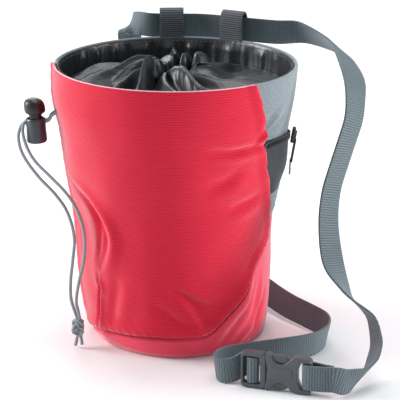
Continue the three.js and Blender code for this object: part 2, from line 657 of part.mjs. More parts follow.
// The plug: ladder lock frame, then two side prongs whose ears fill the socket's windows, and a guide tongue.
function bucklePlug() {
  const at = (share) => share * BUCKLE_LENGTH;
  const rail = (BUCKLE_WIDTH - WEB_WIDTH) / 2 - 2 * CLEARANCE;
  const [left, right] = [at(BARS.outer[0]), at(BARS.cross[1])];
  const frame = roundedPlate(left, -BUCKLE_WIDTH / 2, right - left, BUCKLE_WIDTH, rail * 0.8);
  const opening = BUCKLE_WIDTH - 2 * rail;
  for (const [from, to] of [[BARS.outer[1], BARS.ladder[0]], [BARS.ladder[1], BARS.cross[0]]]) {
    frame.holes.push(roundedPlate(at(from), -opening / 2, at(to) - at(from), opening, 0.4));
  }
  let plug = asSolid(uprightPlate(frame, BUCKLE_THICKNESS));
  const slim = (BUCKLE_THICKNESS - 2 * 1.3) / 2;
  const cut = bar(at(BARS.ladder[0]) - 0.5, at(BARS.ladder[1]) + 0.5, opening - 0.1, slim);
  for (const side of [-1, 1]) {
    plug = plug.subtract(cut.translate([0, (side * (BUCKLE_THICKNESS - slim + 0.01)) / 2, 0]));
  }
  const prongEnd = BUCKLE_LENGTH * 0.17;
  for (const side of [-1, 1]) {
    const prong = new THREE.Shape();
    prong.moveTo(right - 1, side * BUCKLE_WIDTH * 0.3);
    prong.lineTo(right - 1, side * BUCKLE_WIDTH * 0.4);
    prong.lineTo(-BUCKLE_LENGTH * 0.04, side * BUCKLE_WIDTH * 0.4);
    prong.lineTo(BUCKLE_LENGTH * 0.01, side * BUCKLE_WIDTH * 0.48);
    prong.lineTo(prongEnd * 0.8, side * BUCKLE_WIDTH * 0.42);
    prong.lineTo(prongEnd, side * BUCKLE_WIDTH * 0.36);
    prong.lineTo(prongEnd, side * BUCKLE_WIDTH * 0.3);
    plug = plug.add(asSolid(uprightPlate(prong, PRONG_THICKNESS)));
  }
  const tongue = bar(right - 1, BUCKLE_LENGTH * 0.12, BUCKLE_WIDTH * 0.14, PRONG_THICKNESS);
  return named('buckle_plug', fromSolid(plug.add(tongue)), GREY_PLASTIC);
}

// The socket: a body with four arms and a waist, hollow for the prongs, and the bar of its sewn end.
function buckleSocket() {
  const at = (share) => share * BUCKLE_LENGTH;
  const half = BUCKLE_WIDTH / 2;
  const mouth = at(BARS.cross[1]) + CLEARANCE;
  const body = new THREE.Shape();
  body.moveTo(mouth, -half);
  body.lineTo(mouth + 3, -half);
  body.quadraticCurveTo(at(0.05), -half * 0.3, at(0.2), -half);
  body.lineTo(at(BARS.end[1]) - 2.5, -half * 0.95);
  body.quadraticCurveTo(at(BARS.end[1]), -half * 0.95, at(BARS.end[1]), -half * 0.7);
  body.lineTo(at(BARS.end[1]), half * 0.7);
  body.quadraticCurveTo(at(BARS.end[1]), half * 0.95, at(BARS.end[1]) - 2.5, half * 0.95);
  body.lineTo(at(0.2), half);
  body.quadraticCurveTo(at(0.05), half * 0.3, mouth + 3, half);
  body.lineTo(mouth, half);
  body.closePath();
  const opening = WEB_WIDTH + 4 * CLEARANCE;
  const [slotFrom, slotTo] = [at(BARS.slot[0]), at(BARS.slot[1])];
  body.holes.push(roundedPlate(slotFrom, -opening / 2, slotTo - slotFrom, opening, 0.8));
  const solid = asSolid(uprightPlate(body, BUCKLE_THICKNESS));
  const slim = (BUCKLE_THICKNESS - 2 * 1.7) / 2;
  const endBar = bar(slotTo - 0.2, at(BARS.end[1]) + 0.5, opening - 0.1, slim);
  const throat = bar(mouth - 1, at(0.19), BUCKLE_WIDTH * 0.9, PRONG_THICKNESS + 2 * CLEARANCE);
  let socket = solid.subtract(throat);
  for (const side of [-1, 1]) {
    socket = socket.subtract(endBar.translate([0, (side * (BUCKLE_THICKNESS - slim + 0.01)) / 2, 0]));
  }
  return named('buckle_socket', fromSolid(socket), GREY_PLASTIC);
}

function buckle() {
  const group = buckleGroup();
  group.add(bucklePlug(), buckleSocket());
  return group;
}

// The cord lock hangs on the drawstring at the bag's left. Its hole runs from side to side.
const LOCK_PLACE = { right: -1.137, back: -0.138, up: 0.7235 };
const LOCK_TILT = -2;
const HOLE_HEIGHT = LOCK_HEIGHT - 2.1;
const HOLE_TALL = CORD_DIAMETER + 4 * CLEARANCE;
const HOLE_WIDE = 2 * CORD_DIAMETER + 4 * CLEARANCE;

function lockGroup() {
  const group = new THREE.Group();
  group.position.set(
    MOUTH_RADIUS * LOCK_PLACE.right,
    MOUTH_RADIUS * LOCK_PLACE.back,
    BAG_HEIGHT * LOCK_PLACE.up,
  );
  group.rotation.y = degToRad(LOCK_TILT);
  group.updateMatrix();
  return group;
}

function turnedAboutZ(profile) {
  const outline = profile.map(([radius, height]) => new THREE.Vector2(radius, height));
  const lathe = new THREE.LatheGeometry(outline, 18);
  return shaped(lathe, (p) => new THREE.Vector3(p.x, -p.z, p.y));
}

function crossHole(bottom, top) {
  const hole = new THREE.BoxGeometry(4 * LOCK_RADIUS, HOLE_WIDE, top - bottom);
  return asSolid(hole.translate(0, 0, (bottom + top) / 2));
}

function cordLockBody() {
  const inner = LOCK_RADIUS - LOCK_WALL;
  const cup = turnedAboutZ([
    [0, 0],
    [LOCK_RADIUS - 1.2, 0],
    [LOCK_RADIUS, 1.2],
    [LOCK_RADIUS, LOCK_HEIGHT],
    [inner, LOCK_HEIGHT],
    [inner, LOCK_WALL * 2],
    [0, LOCK_WALL * 2],
  ]);
  const hole = crossHole(HOLE_HEIGHT - HOLE_TALL / 2, HOLE_HEIGHT + HOLE_TALL / 2);
  return named('cord_lock_body', fromSolid(asSolid(cup).subtract(hole)), LOCK_PLASTIC);
}

// The button's slot is longer than the cords are thick, so that they stay clear as it is pushed down.
function cordLockButton() {
  const stem = LOCK_RADIUS - LOCK_WALL - CLEARANCE;
  const head = LOCK_HEIGHT + BUTTON_TRAVEL + CLEARANCE;
  const crown = head + BUTTON_HEAD_HEIGHT;
  const button = turnedAboutZ([
    [0, LOCK_WALL * 2 + BUTTON_TRAVEL + CLEARANCE],
    [stem, LOCK_WALL * 2 + BUTTON_TRAVEL + CLEARANCE],
    [stem, head],
    [LOCK_RADIUS * 0.96, head],
    [LOCK_RADIUS, head + 1],
    [LOCK_RADIUS, crown - 3],
    [LOCK_RADIUS * 0.86, crown - 1.2],
    [LOCK_RADIUS * 0.5, crown - 0.2],
    [0, crown],
  ]);
  const slot = crossHole(HOLE_HEIGHT - HOLE_TALL / 2, HOLE_HEIGHT + HOLE_TALL / 2 + BUTTON_TRAVEL);
  return named('cord_lock_button', fromSolid(asSolid(button).subtract(slot)), BLACK_PLASTIC);
}

function cordLock() {
  const group = lockGroup();
  group.add(cordLockBody(), cordLockButton());
  return group;
}

// Hand-chosen points of the two strands in the laid group, from the bag through the lock to the knot.
const OUTER_STRAND = [
  [-72, -9, 139.6],
  [-73.6, -9, 138.4],
  [-74.8, -8.9, 135.9],
  [-77, -8.9, 134.75],
  [-82.4, -8.9, 134.45],
  [-87.5, -8.9, 134.3],
  [-90.3, -9.3, 133],
  [-92.4, -10.6, 129.8],
  [-93.2, -12.6, 125],
  [-91.6, -15.5, 118],
  [-87.4, -18.5, 111],
  [-80.3, -22.5, 102.8],
  [-71.6, -27.6, 95.2],
  [-65, -31.4, 87.2],
  [-61.2, -34, 78],
  [-59.8, -35, 68],
  [-61, -35, 56],
  [-62.6, -34.4, 43],
  [-62.8, -34.2, 32],
  [-61, -34, 24],
  [-59.3, -34.1, 18.8],
];
const INNER_STRAND = [
  [-71.6, -11.6, 139.4],
  [-73.4, -11.5, 138.2],
  [-74.5, -11.2, 136],
  [-76.5, -11.1, 134.65],
  [-82.4, -11.1, 134.45],
  [-88.6, -11.1, 134.2],
  [-90.2, -11.8, 132.2],
  [-90.3, -13.6, 127],
  [-87.6, -16, 119],
  [-82.6, -20, 112],
  [-74, -25.6, 105],
  [-64.6, -31.6, 97],
  [-58.2, -35.6, 88.4],
  [-54.6, -37.8, 78.6],
  [-53.4, -38, 69],
  [-54.4, -37.4, 56],
  [-57.4, -36.4, 43.3],
  [-59.4, -36.6, 31],
  [-58.4, -36.6, 24],
  [-57.6, -36.2, 18.8],
];

function cordCurve(points) {
  return new THREE.CatmullRomCurve3(points.map((point) => new THREE.Vector3(...point)));
}

function cord(points, steps) {
  const section = new THREE.Shape();
  section.absarc(0, 0, CORD_DIAMETER / 2, 0, 2 * Math.PI);
  const options = { steps, extrudePath: cordCurve(points), curveSegments: 4, bevelEnabled: false };
  return new THREE.ExtrudeGeometry(section, options);
}

const KNOT_PLACE = [-58.3, -35.2, 13.6];
const KNOT_TAILS = [
  [[-59.4, -35.2, 11], [-59.8, -35.4, 6], [-60.6, -36, 1.4]],
  [[-57, -35.4, 11], [-56.6, -36.4, 6.4], [-56, -37.8, 2.6]],
];

// The overhand knot: a lump with the two turns of the cords round it, and the cords' short tails.
function drawstringKnot() {
  const lump = new THREE.SphereGeometry(1, 10, 7);
  const body = shaped(lump, (p) => {
    const turn = Math.atan2(p.z, p.x);
    const swell = 1 + 0.1 * Math.cos(2 * turn + 5 * p.y);
    return new THREE.Vector3(
      KNOT_PLACE[0] + p.x * KNOT_RADIUS * swell,
      KNOT_PLACE[1] - p.z * KNOT_RADIUS * 0.8 * swell,
      KNOT_PLACE[2] + p.y * KNOT_RADIUS * 1.05,
    );
  });
  let knot = asSolid(body);
  for (const tail of KNOT_TAILS) knot = knot.add(asSolid(cord(tail, 4)));
  return named('drawstring_knot', fromSolid(knot), CORD_GREY);
}

function laidOut() {
  const group = new THREE.Group();
  group.rotation.z = degToRad(LAID_TURN);
  group.add(
    waistBelt(),
    buckle(),
    cordLock(),
    named('drawstring_outer', cord(OUTER_STRAND, 36), CORD_GREY),
    named('drawstring_inner', cord(INNER_STRAND, 46), CORD_GREY),
    drawstringKnot(),
  );
  return group;
}

const chalkBag = new THREE.Group();
chalkBag.add(
  frontPanel(),
  sideBackPanel(),
  basePanel(),
  pocketPanel(),
  pocketZip(),
  pocketHardware(),
  rimLining(),
  drawstringCollar(),
  beltLoop('belt_loop_left', 180 + LOOP_ANGLE),
  beltLoop('belt_loop_right', 180 - LOOP_ANGLE),
  laidOut(),
);

export default chalkBag;
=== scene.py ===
"""Looks of a climbing chalk bag: cloth, webbing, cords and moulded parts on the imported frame.
Lengths in the tables and helpers are millimetres, and turned to metres where a mesh is made."""
import math

import bmesh
import bpy
from mathutils import Matrix, Vector, noise


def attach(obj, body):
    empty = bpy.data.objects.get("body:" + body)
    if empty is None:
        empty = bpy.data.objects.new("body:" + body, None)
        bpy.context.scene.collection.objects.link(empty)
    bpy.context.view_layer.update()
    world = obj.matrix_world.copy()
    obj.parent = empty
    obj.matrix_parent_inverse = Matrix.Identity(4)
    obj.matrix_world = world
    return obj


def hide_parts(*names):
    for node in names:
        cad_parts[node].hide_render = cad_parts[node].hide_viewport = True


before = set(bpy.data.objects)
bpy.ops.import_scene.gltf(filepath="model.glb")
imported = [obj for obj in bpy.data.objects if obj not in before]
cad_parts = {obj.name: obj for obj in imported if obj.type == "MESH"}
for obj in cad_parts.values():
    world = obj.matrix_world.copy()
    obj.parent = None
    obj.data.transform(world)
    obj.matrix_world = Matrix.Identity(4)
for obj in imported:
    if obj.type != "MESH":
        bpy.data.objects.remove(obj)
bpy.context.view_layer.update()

bl_info = {
    "name": "Climbing chalk bag",
    "version": (1, 0, 0),
    "blender": (4, 5, 0),
    "location": "View3D > Sidebar > Chalk bag",
    "description": "Builds the cloth, webbing, cords and moulded parts of a climbing chalk bag",
    "category": "Object",
}

MM = 0.001

# The photo shows the bag turned by this much. The laid belt, the cords and the camera turn with it.
LAID_TURN = math.radians(13)
CAMERA_PLACE = (0.228, -0.9234, 0.391)
CAMERA_PITCH = math.radians(18)
CAMERA_LENS = 148

# The two belt loops: their webbing's width and ribs, their angle from the back and how far they reach down.
LOOP_WIDTH = 15
LOOP_PITCH = 1.33
LOOP_ANGLE = 15.7
LOOP_TAIL = 20

# Stands for a distance to an edge that is too far off to matter.
FAR = 99

# Outline of the bag: its radius and how far its middle leans to the right, as shares of the mouth's radius.
SECTIONS = [
    (0, 0.735, 0.02), (0.06, 0.764, 0.007), (0.12, 0.782, 0), (0.21, 0.797, -0.006),
    (0.3, 0.808, -0.011), (0.42, 0.829, -0.018), (0.54, 0.857, -0.022), (0.65, 0.903, -0.019),
    (0.77, 0.949, -0.015), (0.86, 0.984, -0.012), (0.93, 0.996, -0.005), (1, 1, 0),
]

# Dents and swells: angle round the bag, height share, their spreads in degrees and shares, depth share.
DENTS = [
    (-52, 0.4, 17, 0.15, 0.05), (-26, 0.45, 9, 0.13, -0.018), (-42, 0.2, 10, 0.06, 0.025),
    (42, 0.27, 11, 0.09, 0.022), (60, 0.2, 8, 0.08, -0.02), (73, 0.09, 6, 0.09, 0.035),
    (66, 0.8, 5, 0.07, 0.014), (150, 0.4, 25, 0.18, 0.025), (215, 0.5, 22, 0.16, 0.02),
]

# Creases of the cloth: points as angle and height share, then width and depth in mm, and the depths are
# multiplied by the strength. A depth below 0 is a ridge, and each crease has a softer swell beside it.
CREASE_STRENGTH = 1.8
CREASES = [
    (((-62, 0.6), (-44, 0.555), (-34, 0.51), (-29, 0.467), (-28, 0.417), (-32, 0.354), (-39, 0.29)),
     3.2, 1.9),
    (((-36, 0.52), (-32.5, 0.452), (-35, 0.381), (-40, 0.32)), 2.2, 1.0),
    (((-39, 0.29), (-40, 0.253), (-38.5, 0.235), (-41, 0.2), (-42, 0.13), (-43, 0.065)), 1.9, 1.7),
    (((64, 0.768), (52, 0.772), (42, 0.771), (30, 0.785)), 2.4, 1.3),
    (((66, 0.577), (55, 0.565), (44, 0.56)), 3.2, 1.1),
    (((50, 0.7), (40, 0.66), (30, 0.655)), 4, 0.9),
    (((10, 0.28), (16, 0.253), (25, 0.217), (40, 0.188)), 3.2, 1.2),
    (((13, 0.262), (22, 0.176), (29, 0.105)), 2.6, -0.9),
    (((0, 0.22), (12, 0.16), (20, 0.11)), 3.4, 0.9),
    (((-20, 0.3), (-26, 0.2), (-30, 0.1)), 4.5, 1.0),
    (((40, 0.035), (52, 0.115), (63, 0.18), (71, 0.27)), 2.6, 0.9),
    (((52, 0.02), (63, 0.08), (73, 0.15), (79, 0.26)), 2.2, -0.9),
    (((66, 0.01), (70, 0.05), (76, 0.11), (84, 0.2)), 2, 1.3),
    (((58, 0.775), (62, 0.818), (68, 0.86), (74, 0.9)), 1.7, -0.9),
    (((63, 0.77), (68, 0.82), (76, 0.86)), 2.4, 0.8),
    (((150, 0.12), (160, 0.3), (155, 0.5)), 4, 1.2),
    (((195, 0.1), (204, 0.26), (215, 0.42), (208, 0.55)), 3.4, 1.3),
    (((232, 0.14), (240, 0.3), (236, 0.44)), 3.6, 1.1),
    (((172, 0.7), (190, 0.66), (214, 0.68)), 4.2, 0.9),
    (((110, 0.2), (122, 0.34), (118, 0.46)), 3.6, 1.1),
    (((-14, 0.008), (-40, 0.02), (-62, 0.012)), 2.2, 0.5),
]

LEFT_SEAM = -77
RIGHT_SEAM = [(0.38, 82.3), (0.45, 82), (0.54, 76.8), (0.67, 68.4), (0.79, 62.5), (0.9, 58), (1, 52.4)]
SEAM_CORNER = RIGHT_SEAM[0][1]
FRONT_SEAM = [
    (-77, 0.022), (-49, 0.057), (-33, 0.075), (-16, 0.084), (0, 0.09), (15, 0.09), (30, 0.092),
    (36, 0.108), (42, 0.14), (51, 0.187), (61, 0.248), (70, 0.318), (83, 0.385),
]
BACK_SEAM = [(82, 0.445), (100, 0.56), (125, 0.6), (180, 0.61), (240, 0.6), (283, 0.57)]
POCKET_END = 142
POCKET = [
    (0, 0.556, 0.775), (0.15, 0.55, 0.78), (0.35, 0.54, 0.765), (0.55, 0.55, 0.745), (0.8, 0.58, 0.72),
    (1, 0.61, 0.7),
]


def look_up(table, at, column=1):
    """Reads a smooth curve through a table whose first column grows."""
    last = len(table) - 1
    i = 0
    while i < last - 1 and at > table[i + 1][0]:
        i += 1
    here, after = table[i], table[i + 1]
    before, beyond = table[max(i - 1, 0)], table[min(i + 2, last)]
    span = after[0] - here[0]
    t = min(max((at - here[0]) / span, 0), 1)
    slope = (after[column] - before[column]) / (after[0] - before[0]) * span
    slope_after = (beyond[column] - here[column]) / (beyond[0] - here[0]) * span
    return (
        (2 * t**3 - 3 * t**2 + 1) * here[column]
        + (t**3 - 2 * t**2 + t) * slope
        + (3 * t**2 - 2 * t**3) * after[column]
        + (t**3 - t**2) * slope_after
    )


def mix(a, b, share):
    return a + (b - a) * share


def smooth_step(low, high, at):
    t = min(max((at - low) / (high - low), 0), 1)
    return t * t * (3 - 2 * t)


def linear(code):
    """Turns an sRGB hex value to the linear colour that shaders take."""
    shares = [int(code[i : i + 2], 16) / 255 for i in (1, 3, 5)]
    return tuple(c / 12.92 if c <= 0.04045 else ((c + 0.055) / 1.055) ** 2.4 for c in shares)


def colour(name, description, code):
    return bpy.props.FloatVectorProperty(
        name=name, description=description, subtype="COLOR", size=3, min=0, max=1, default=linear(code)
    )


def metres(name, description, default):
    return bpy.props.FloatProperty(name=name, description=description, default=default, unit="LENGTH")


class ChalkBagSizes(bpy.types.PropertyGroup):
    """Driving sizes, in metres."""

    bag_height: metres("Bag height", "From the floor to the rim", 0.168)
    mouth_radius: metres("Mouth radius", "Outer radius of the rim", 0.0725)
    cloth: metres("Cloth", "Thickness of the outer cloth", 0.0012)
    rib_pitch: metres("Rib pitch", "Distance between the ribs of the front panel", 0.00145)
    web_width: metres("Webbing width", "Width of the belt", 0.015)
    web_thickness: metres("Webbing thickness", "Thickness of the belt", 0.0015)
    web_pitch: metres("Webbing rib pitch", "Distance between the cross ribs", 0.0015)
    cord_diameter: metres("Cord diameter", "Diameter of the drawstring", 0.002)


class ChalkBagColours(bpy.types.PropertyGroup):
    """Colours of the cloths, webbing, cords and plastics."""

    ribbed: colour("Ribbed cloth", "Cloth of the front panel", "#CF1234")
    plain: colour("Plain cloth", "Cloth of the lower panel", "#E63552")
    # The pale edge colour is a painted highlight along the raised folded edge of the front panel.
    edge: colour("Folded edge", "Bare folded edge of the front panel", "#EDB3C0")
    melange: colour("Melange cloth", "Cloth of the side and back", "#76838A")
    pocket: colour("Pocket cloth", "Cloth of the zip pocket", "#23282E")
    lining: colour("Lining", "Nylon of the lining and the collar", "#14191F")
    webbing: colour("Belt webbing", "Outer face of the belt", "#526168")
    # The inside colour is a darker copy of the webbing, as painted shade on the belt's inner face.
    shaded_webbing_inside: colour("Belt inside", "Inner face of the belt, a little darker", "#4C5A60")
    loops: colour("Loop webbing", "Webbing of the two belt loops", "#272A2E")
    buckle: colour("Buckle", "Moulded plastic of the buckle", "#4C5057")
    lock: colour("Cord lock", "Moulded plastic of the cord lock's body", "#353D45")
    button: colour("Button", "Moulded plastic of the button and the zip slider", "#0B0D10")
    cord: colour("Cord", "Braided drawstring", "#8A9699")
    thread: colour("Thread", "Sewing thread", "#4A5258")
    floor: colour("Floor", "Plain floor", "#F4F5F6")


class BagShape:
    """The bag's outer face in mm, from its driving sizes. Angles are degrees from the front towards +X."""

    def __init__(self, sizes):
        self.height = sizes.bag_height / MM
        self.mouth = sizes.mouth_radius / MM
        self.cloth = sizes.cloth / MM
        self.creases = [self.crease_line(*crease) for crease in CREASES]

    def crease_line(self, corners, width, depth):
        middle = sum(corner[0] for corner in corners) / len(corners)
        scale = math.radians(self.mouth * 0.84)
        flat = [Vector(((a - middle) * scale, up * self.height)) for a, up in corners]
        points = smooth_path([(p.x, p.y, 0) for p in flat], 4)
        low = [min(p[i] for p in points) - 4 * width for i in (0, 1)]
        high = [max(p[i] for p in points) + 4 * width for i in (0, 1)]
        return middle, scale, points, low, high, width, depth

    def crease_depth(self, around, z):
        total = 0
        for middle, scale, points, low, high, width, depth in self.creases:
            x = ((around - middle + 180) % 360 - 180) * scale
            if not (low[0] < x < high[0] and low[1] < z < high[1]):
                continue
            nearest, side, share = 1e9, 1, 0
            for i in range(len(points) - 1):
                ax, ay = points[i][0], points[i][1]
                dx, dy = points[i + 1][0] - ax, points[i + 1][1] - ay
                t = min(max(((x - ax) * dx + (z - ay) * dy) / (dx * dx + dy * dy), 0), 1)
                gap_x, gap_y = x - ax - t * dx, z - ay - t * dy
                distance = math.hypot(gap_x, gap_y)
                if distance < nearest:
                    nearest, share = distance, (i + t) / (len(points) - 1)
                    side = 1 if dx * gap_y - dy * gap_x > 0 else -1
            fade = max(math.sin(math.pi * min(max(share, 0.02), 0.98)), 0) ** 0.7
            across = side * nearest / width
            swell = 0.5 * math.exp(-((across - 1.8) / 1.3) ** 2)
            total += CREASE_STRENGTH * depth * fade * (math.exp(-across * across) - swell)
        return total

    def radius(self, around, z, creased=True):
        up = z / self.height
        radius = look_up(SECTIONS, up)
        for turn, level, wide, tall, depth in DENTS:
            turned = (around - turn + 180) % 360 - 180
            radius -= depth * math.exp(-((turned / wide) ** 2) - ((up - level) / tall) ** 2)
        radius *= self.mouth
        if creased:
            turn = math.radians(around)
            sway = noise.noise(Vector((math.sin(turn) * 2.4, math.cos(turn) * 2.4, up * 4.5)))
            calm = smooth_step(0, 0.08, up) * smooth_step(1, 0.9, up)
            radius -= self.crease_depth(around, z) * smooth_step(0, 0.03, up) - 1.4 * sway * calm
        return radius

    def point(self, around, z, outward, creased=True):
        radius = self.radius(around, z, creased) + outward
        lean = self.mouth * look_up(SECTIONS, z / self.height, 2)
        turn = math.radians(around)
        return Vector((lean + radius * math.sin(turn), -radius * math.cos(turn), z))

    def right_seam(self, z):
        return look_up(RIGHT_SEAM, z / self.height)

    def front_seam(self, around):
        return self.height * look_up(FRONT_SEAM, around)

    def back_seam(self, around):
        return self.height * look_up(BACK_SEAM, around)

    def arc(self, around):
        return math.radians(around) * self.mouth * 0.92


def smooth_path(points, steps):
    """Catmull-Rom points along a table of corners, with steps points for each span."""
    corners = [Vector(p) for p in points]
    result = []
    for i in range(len(corners) - 1):
        before = corners[i - 1] if i else corners[0] * 2 - corners[1]
        beyond = corners[i + 2] if i + 2 < len(corners) else corners[-1] * 2 - corners[-2]
        here, after = corners[i], corners[i + 1]
        for step in range(steps):
            t = step / steps
            result.append(
                0.5
                * (
                    2 * here
                    + (after - before) * t
                    + (2 * before - 5 * here + 4 * after - beyond) * t**2
                    + (3 * here - before - 3 * after + beyond) * t**3
                )
            )
    return result + [corners[-1]]


def even_places(points, pitch):
    """Places one pitch apart on a line, each as the number of its span and the share along that span."""
    lengths = [0]
    for a, b in zip(points, points[1:]):
        lengths.append(lengths[-1] + (b - a).length)
    count = max(round(lengths[-1] / pitch), 1)
    places, i = [], 0
    for step in range(count + 1):
        at = lengths[-1] * step / count
        while i < len(points) - 2 and lengths[i + 1] < at:
            i += 1
        share = (at - lengths[i]) / max(lengths[i + 1] - lengths[i], 1e-9)
        places.append((i, min(max(share, 0), 1)))
    return places


def evenly(points, pitch):
    """The same line with its points one pitch apart."""
    return [points[i].lerp(points[i + 1], share) for i, share in even_places(points, pitch)]


def line_length(points):
    return sum((b - a).length for a, b in zip(points, points[1:]))


def ahead_at(points, i, reach=1):
    """The way that a line runs at one of its points."""
    return points[min(i + reach, len(points) - 1)] - points[max(i - reach, 0)]


def laid(point):
    """A point of the laid belt and cords, turned to the bag's own frame."""
    return Matrix.Rotation(LAID_TURN, 3, "Z") @ Vector(point)


def finished(name, shape, material, smooth=True):
    """Turns a bmesh whose lengths are mm into an object with its material."""
    bmesh.ops.scale(shape, vec=(MM, MM, MM), verts=shape.verts)
    mesh = bpy.data.meshes.new(name)
    shape.to_mesh(mesh)
    shape.free()
    mesh.shade_smooth() if smooth else mesh.shade_flat()
    mesh.materials.append(material)
    piece = bpy.data.objects.new(name, mesh)
    bpy.context.scene.collection.objects.link(piece)
    return piece


def grid_shape(columns, rows, place, closed=False):
    """A grid whose points place moves. It gets the shares across and up. It gives a point and, for the UV
    map, the point's place on the flat cloth, both in mm."""
    shape = bmesh.new()
    bmesh.ops.create_grid(shape, x_segments=columns, y_segments=rows, size=0.5)
    layer = shape.loops.layers.uv.new("Cloth")
    flat = []
    for vertex in shape.verts:
        point, place_on_cloth = place(vertex.co.x + 0.5, vertex.co.y + 0.5)
        vertex.co = point
        flat.append((place_on_cloth[0] * MM, place_on_cloth[1] * MM))
    for face in shape.faces:
        for loop in face.loops:
            loop[layer].uv = flat[loop.vert.index]
    if closed:
        bmesh.ops.remove_doubles(shape, verts=shape.verts, dist=1e-3)
    return shape


def thicken(piece, thickness, offset=-1, rounding=0.3):
    """Gives a cloth piece its thickness in mm, with rounded edges."""
    wall = piece.modifiers.new("Cloth wall", "SOLIDIFY")
    wall.thickness = thickness * MM
    wall.offset = offset
    wall.use_even_offset = False
    if rounding:
        edge = piece.modifiers.new("Rounded edge", "BEVEL")
        edge.width = rounding * MM
        edge.segments = 2
        edge.limit_method = "ANGLE"
        edge.angle_limit = math.radians(60)
    return piece


def tube_shape(points, radius, sides, capped=True):
    """A round tube along a line of points."""
    total = line_length(points)
    frames = []
    side = None
    for i, point in enumerate(points):
        tangent = ahead_at(points, i).normalized()
        if side is None:
            side = tangent.orthogonal().normalized()
        side = (side - tangent * side.dot(tangent)).normalized()
        frames.append((point, side, tangent.cross(side)))
    last = len(points) - 1

    def place(around, along):
        i = round(along * last)
        point, out, over = frames[i]
        turn = 2 * math.pi * around
        where = point + (out * math.cos(turn) - over * math.sin(turn)) * radius
        return where, (turn * radius, along * total)

    shape = grid_shape(sides, last, place, closed=True)
    if capped:
        bmesh.ops.holes_fill(shape, edges=[e for e in shape.edges if e.is_boundary], sides=0)
    bmesh.ops.recalc_face_normals(shape, faces=shape.faces)
    return shape


def add(tree, kind, settings=None, links=None):
    """Adds a shader node. Settings name its properties or its sockets, links say what feeds a socket."""
    new = tree.nodes.new(kind)
    for key, value in (settings or {}).items():
        if isinstance(key, str) and hasattr(new, key):
            setattr(new, key, value)
        else:
            new.inputs[key].default_value = value
    for key, source in (links or {}).items():
        tree.links.new(source, new.inputs[key])
    return new


def start_material(name, settings):
    """A material with a Principled shader, and the shader's tree."""
    material = bpy.data.materials.new(name)
    material.use_nodes = True
    tree = material.node_tree
    tree.nodes.clear()
    shader = add(tree, "ShaderNodeBsdfPrincipled", settings)
    add(tree, "ShaderNodeOutputMaterial", links={"Surface": shader.outputs[0]})
    return material, tree, shader


class Signal:
    """A shader's socket whose sums and products add the nodes that work them out."""

    def __init__(self, tree, socket):
        self.tree = tree
        self.socket = socket

    def step(self, operation, other=0.5):
        settings, links = {"operation": operation}, {0: self.socket}
        if isinstance(other, Signal):
            links[1] = other.socket
        else:
            settings[1] = other
        return Signal(self.tree, add(self.tree, "ShaderNodeMath", settings, links).outputs[0])

    def __add__(self, other):
        return self.step("ADD", other)

    def __sub__(self, other):
        return self.step("SUBTRACT", other)

    def __mul__(self, other):
        return self.step("MULTIPLY", other)

    def clamped(self):
        self.socket.node.use_clamp = True
        return self


def ribs(axis, pitch):
    """A sine from 0 to 1 along one axis of the cloth's own map, with the pitch in metres."""
    return (axis * (2 * math.pi / pitch)).step("SINE") * 0.5 + 0.5


def cloth_axes(tree):
    """The cloth's own map in metres: the whole vector, across and along."""
    mapped = add(tree, "ShaderNodeUVMap", {"uv_map": "Cloth"}).outputs[0]
    split = add(tree, "ShaderNodeSeparateXYZ", links={0: mapped})
    return mapped, Signal(tree, split.outputs[0]), Signal(tree, split.outputs[1])


def speckle(tree, vector, size, detail=2, stretch=(1, 1, 1)):
    """Noise whose features are about size metres across."""
    mapped = add(tree, "ShaderNodeMapping", {"Scale": [s / size for s in stretch]}, {"Vector": vector})
    made = add(tree, "ShaderNodeTexNoise", {"Scale": 1, "Detail": detail}, {"Vector": mapped.outputs[0]})
    return Signal(tree, made.outputs["Fac"])


def coloured(shader, factor, dark, light):
    """Gives a shader a colour between two, by a factor."""
    blend = add(factor.tree, "ShaderNodeMix", {"data_type": "RGBA"}, {0: factor.socket})
    blend.inputs[6].default_value = (*dark, 1)
    blend.inputs[7].default_value = (*light, 1)
    factor.tree.links.new(blend.outputs[2], shader.inputs["Base Color"])


def bumped(shader, height, depth, strength=1):
    """Gives a shader bump whose full height is depth metres."""
    settings = {"Distance": depth, "Strength": strength}
    bump = add(height.tree, "ShaderNodeBump", settings, {"Height": height.socket})
    height.tree.links.new(bump.outputs[0], shader.inputs["Normal"])


def roughened(shader, factor, low, high):
    """Gives a shader a roughness between two, by a factor."""
    rough = add(factor.tree, "ShaderNodeMapRange", {"To Min": low, "To Max": high}, {0: factor.socket})
    factor.tree.links.new(rough.outputs[0], shader.inputs["Roughness"])


def shade(base, factor, lift=0.0):
    return tuple(min(c * factor + lift, 1) for c in base)


def woven_grosgrain_polyester(colours, sizes):
    """Polyester cloth woven with level ribs. It is matt, with a pale bloom where it turns away."""
    settings = {
        "Roughness": 0.85,
        "Specular IOR Level": 0.25,
        "Sheen Weight": 1,
        "Sheen Roughness": 0.38,
        "Sheen Tint": (1, 0.72, 0.77, 1),
    }
    material, tree, shader = start_material("woven_grosgrain_polyester", settings)
    mapped, across, along = cloth_axes(tree)
    level = ribs(along, sizes.rib_pitch)
    # The cross yarns are about 0.3 mm apart, and are drawn at 0.6 mm so that they show.
    yarns = ribs(across, 0.0006)
    thread = speckle(tree, mapped, 0.0005, 2, (0.5, 1.6, 1))
    bumped(shader, level + yarns * 0.22 + thread * 0.7, 0.00016, 0.8)
    broad = speckle(tree, mapped, 0.03)
    # The colour is darker in the valleys between the ribs, as painted shade, and varies at random with the
    # thread and broad noise.
    factor = (level * 0.55 + thread * 0.6 + broad * 0.25).clamped()
    coloured(shader, factor, shade(colours.ribbed, 0.8), shade(colours.ribbed, 1.06, 0.006))
    return material


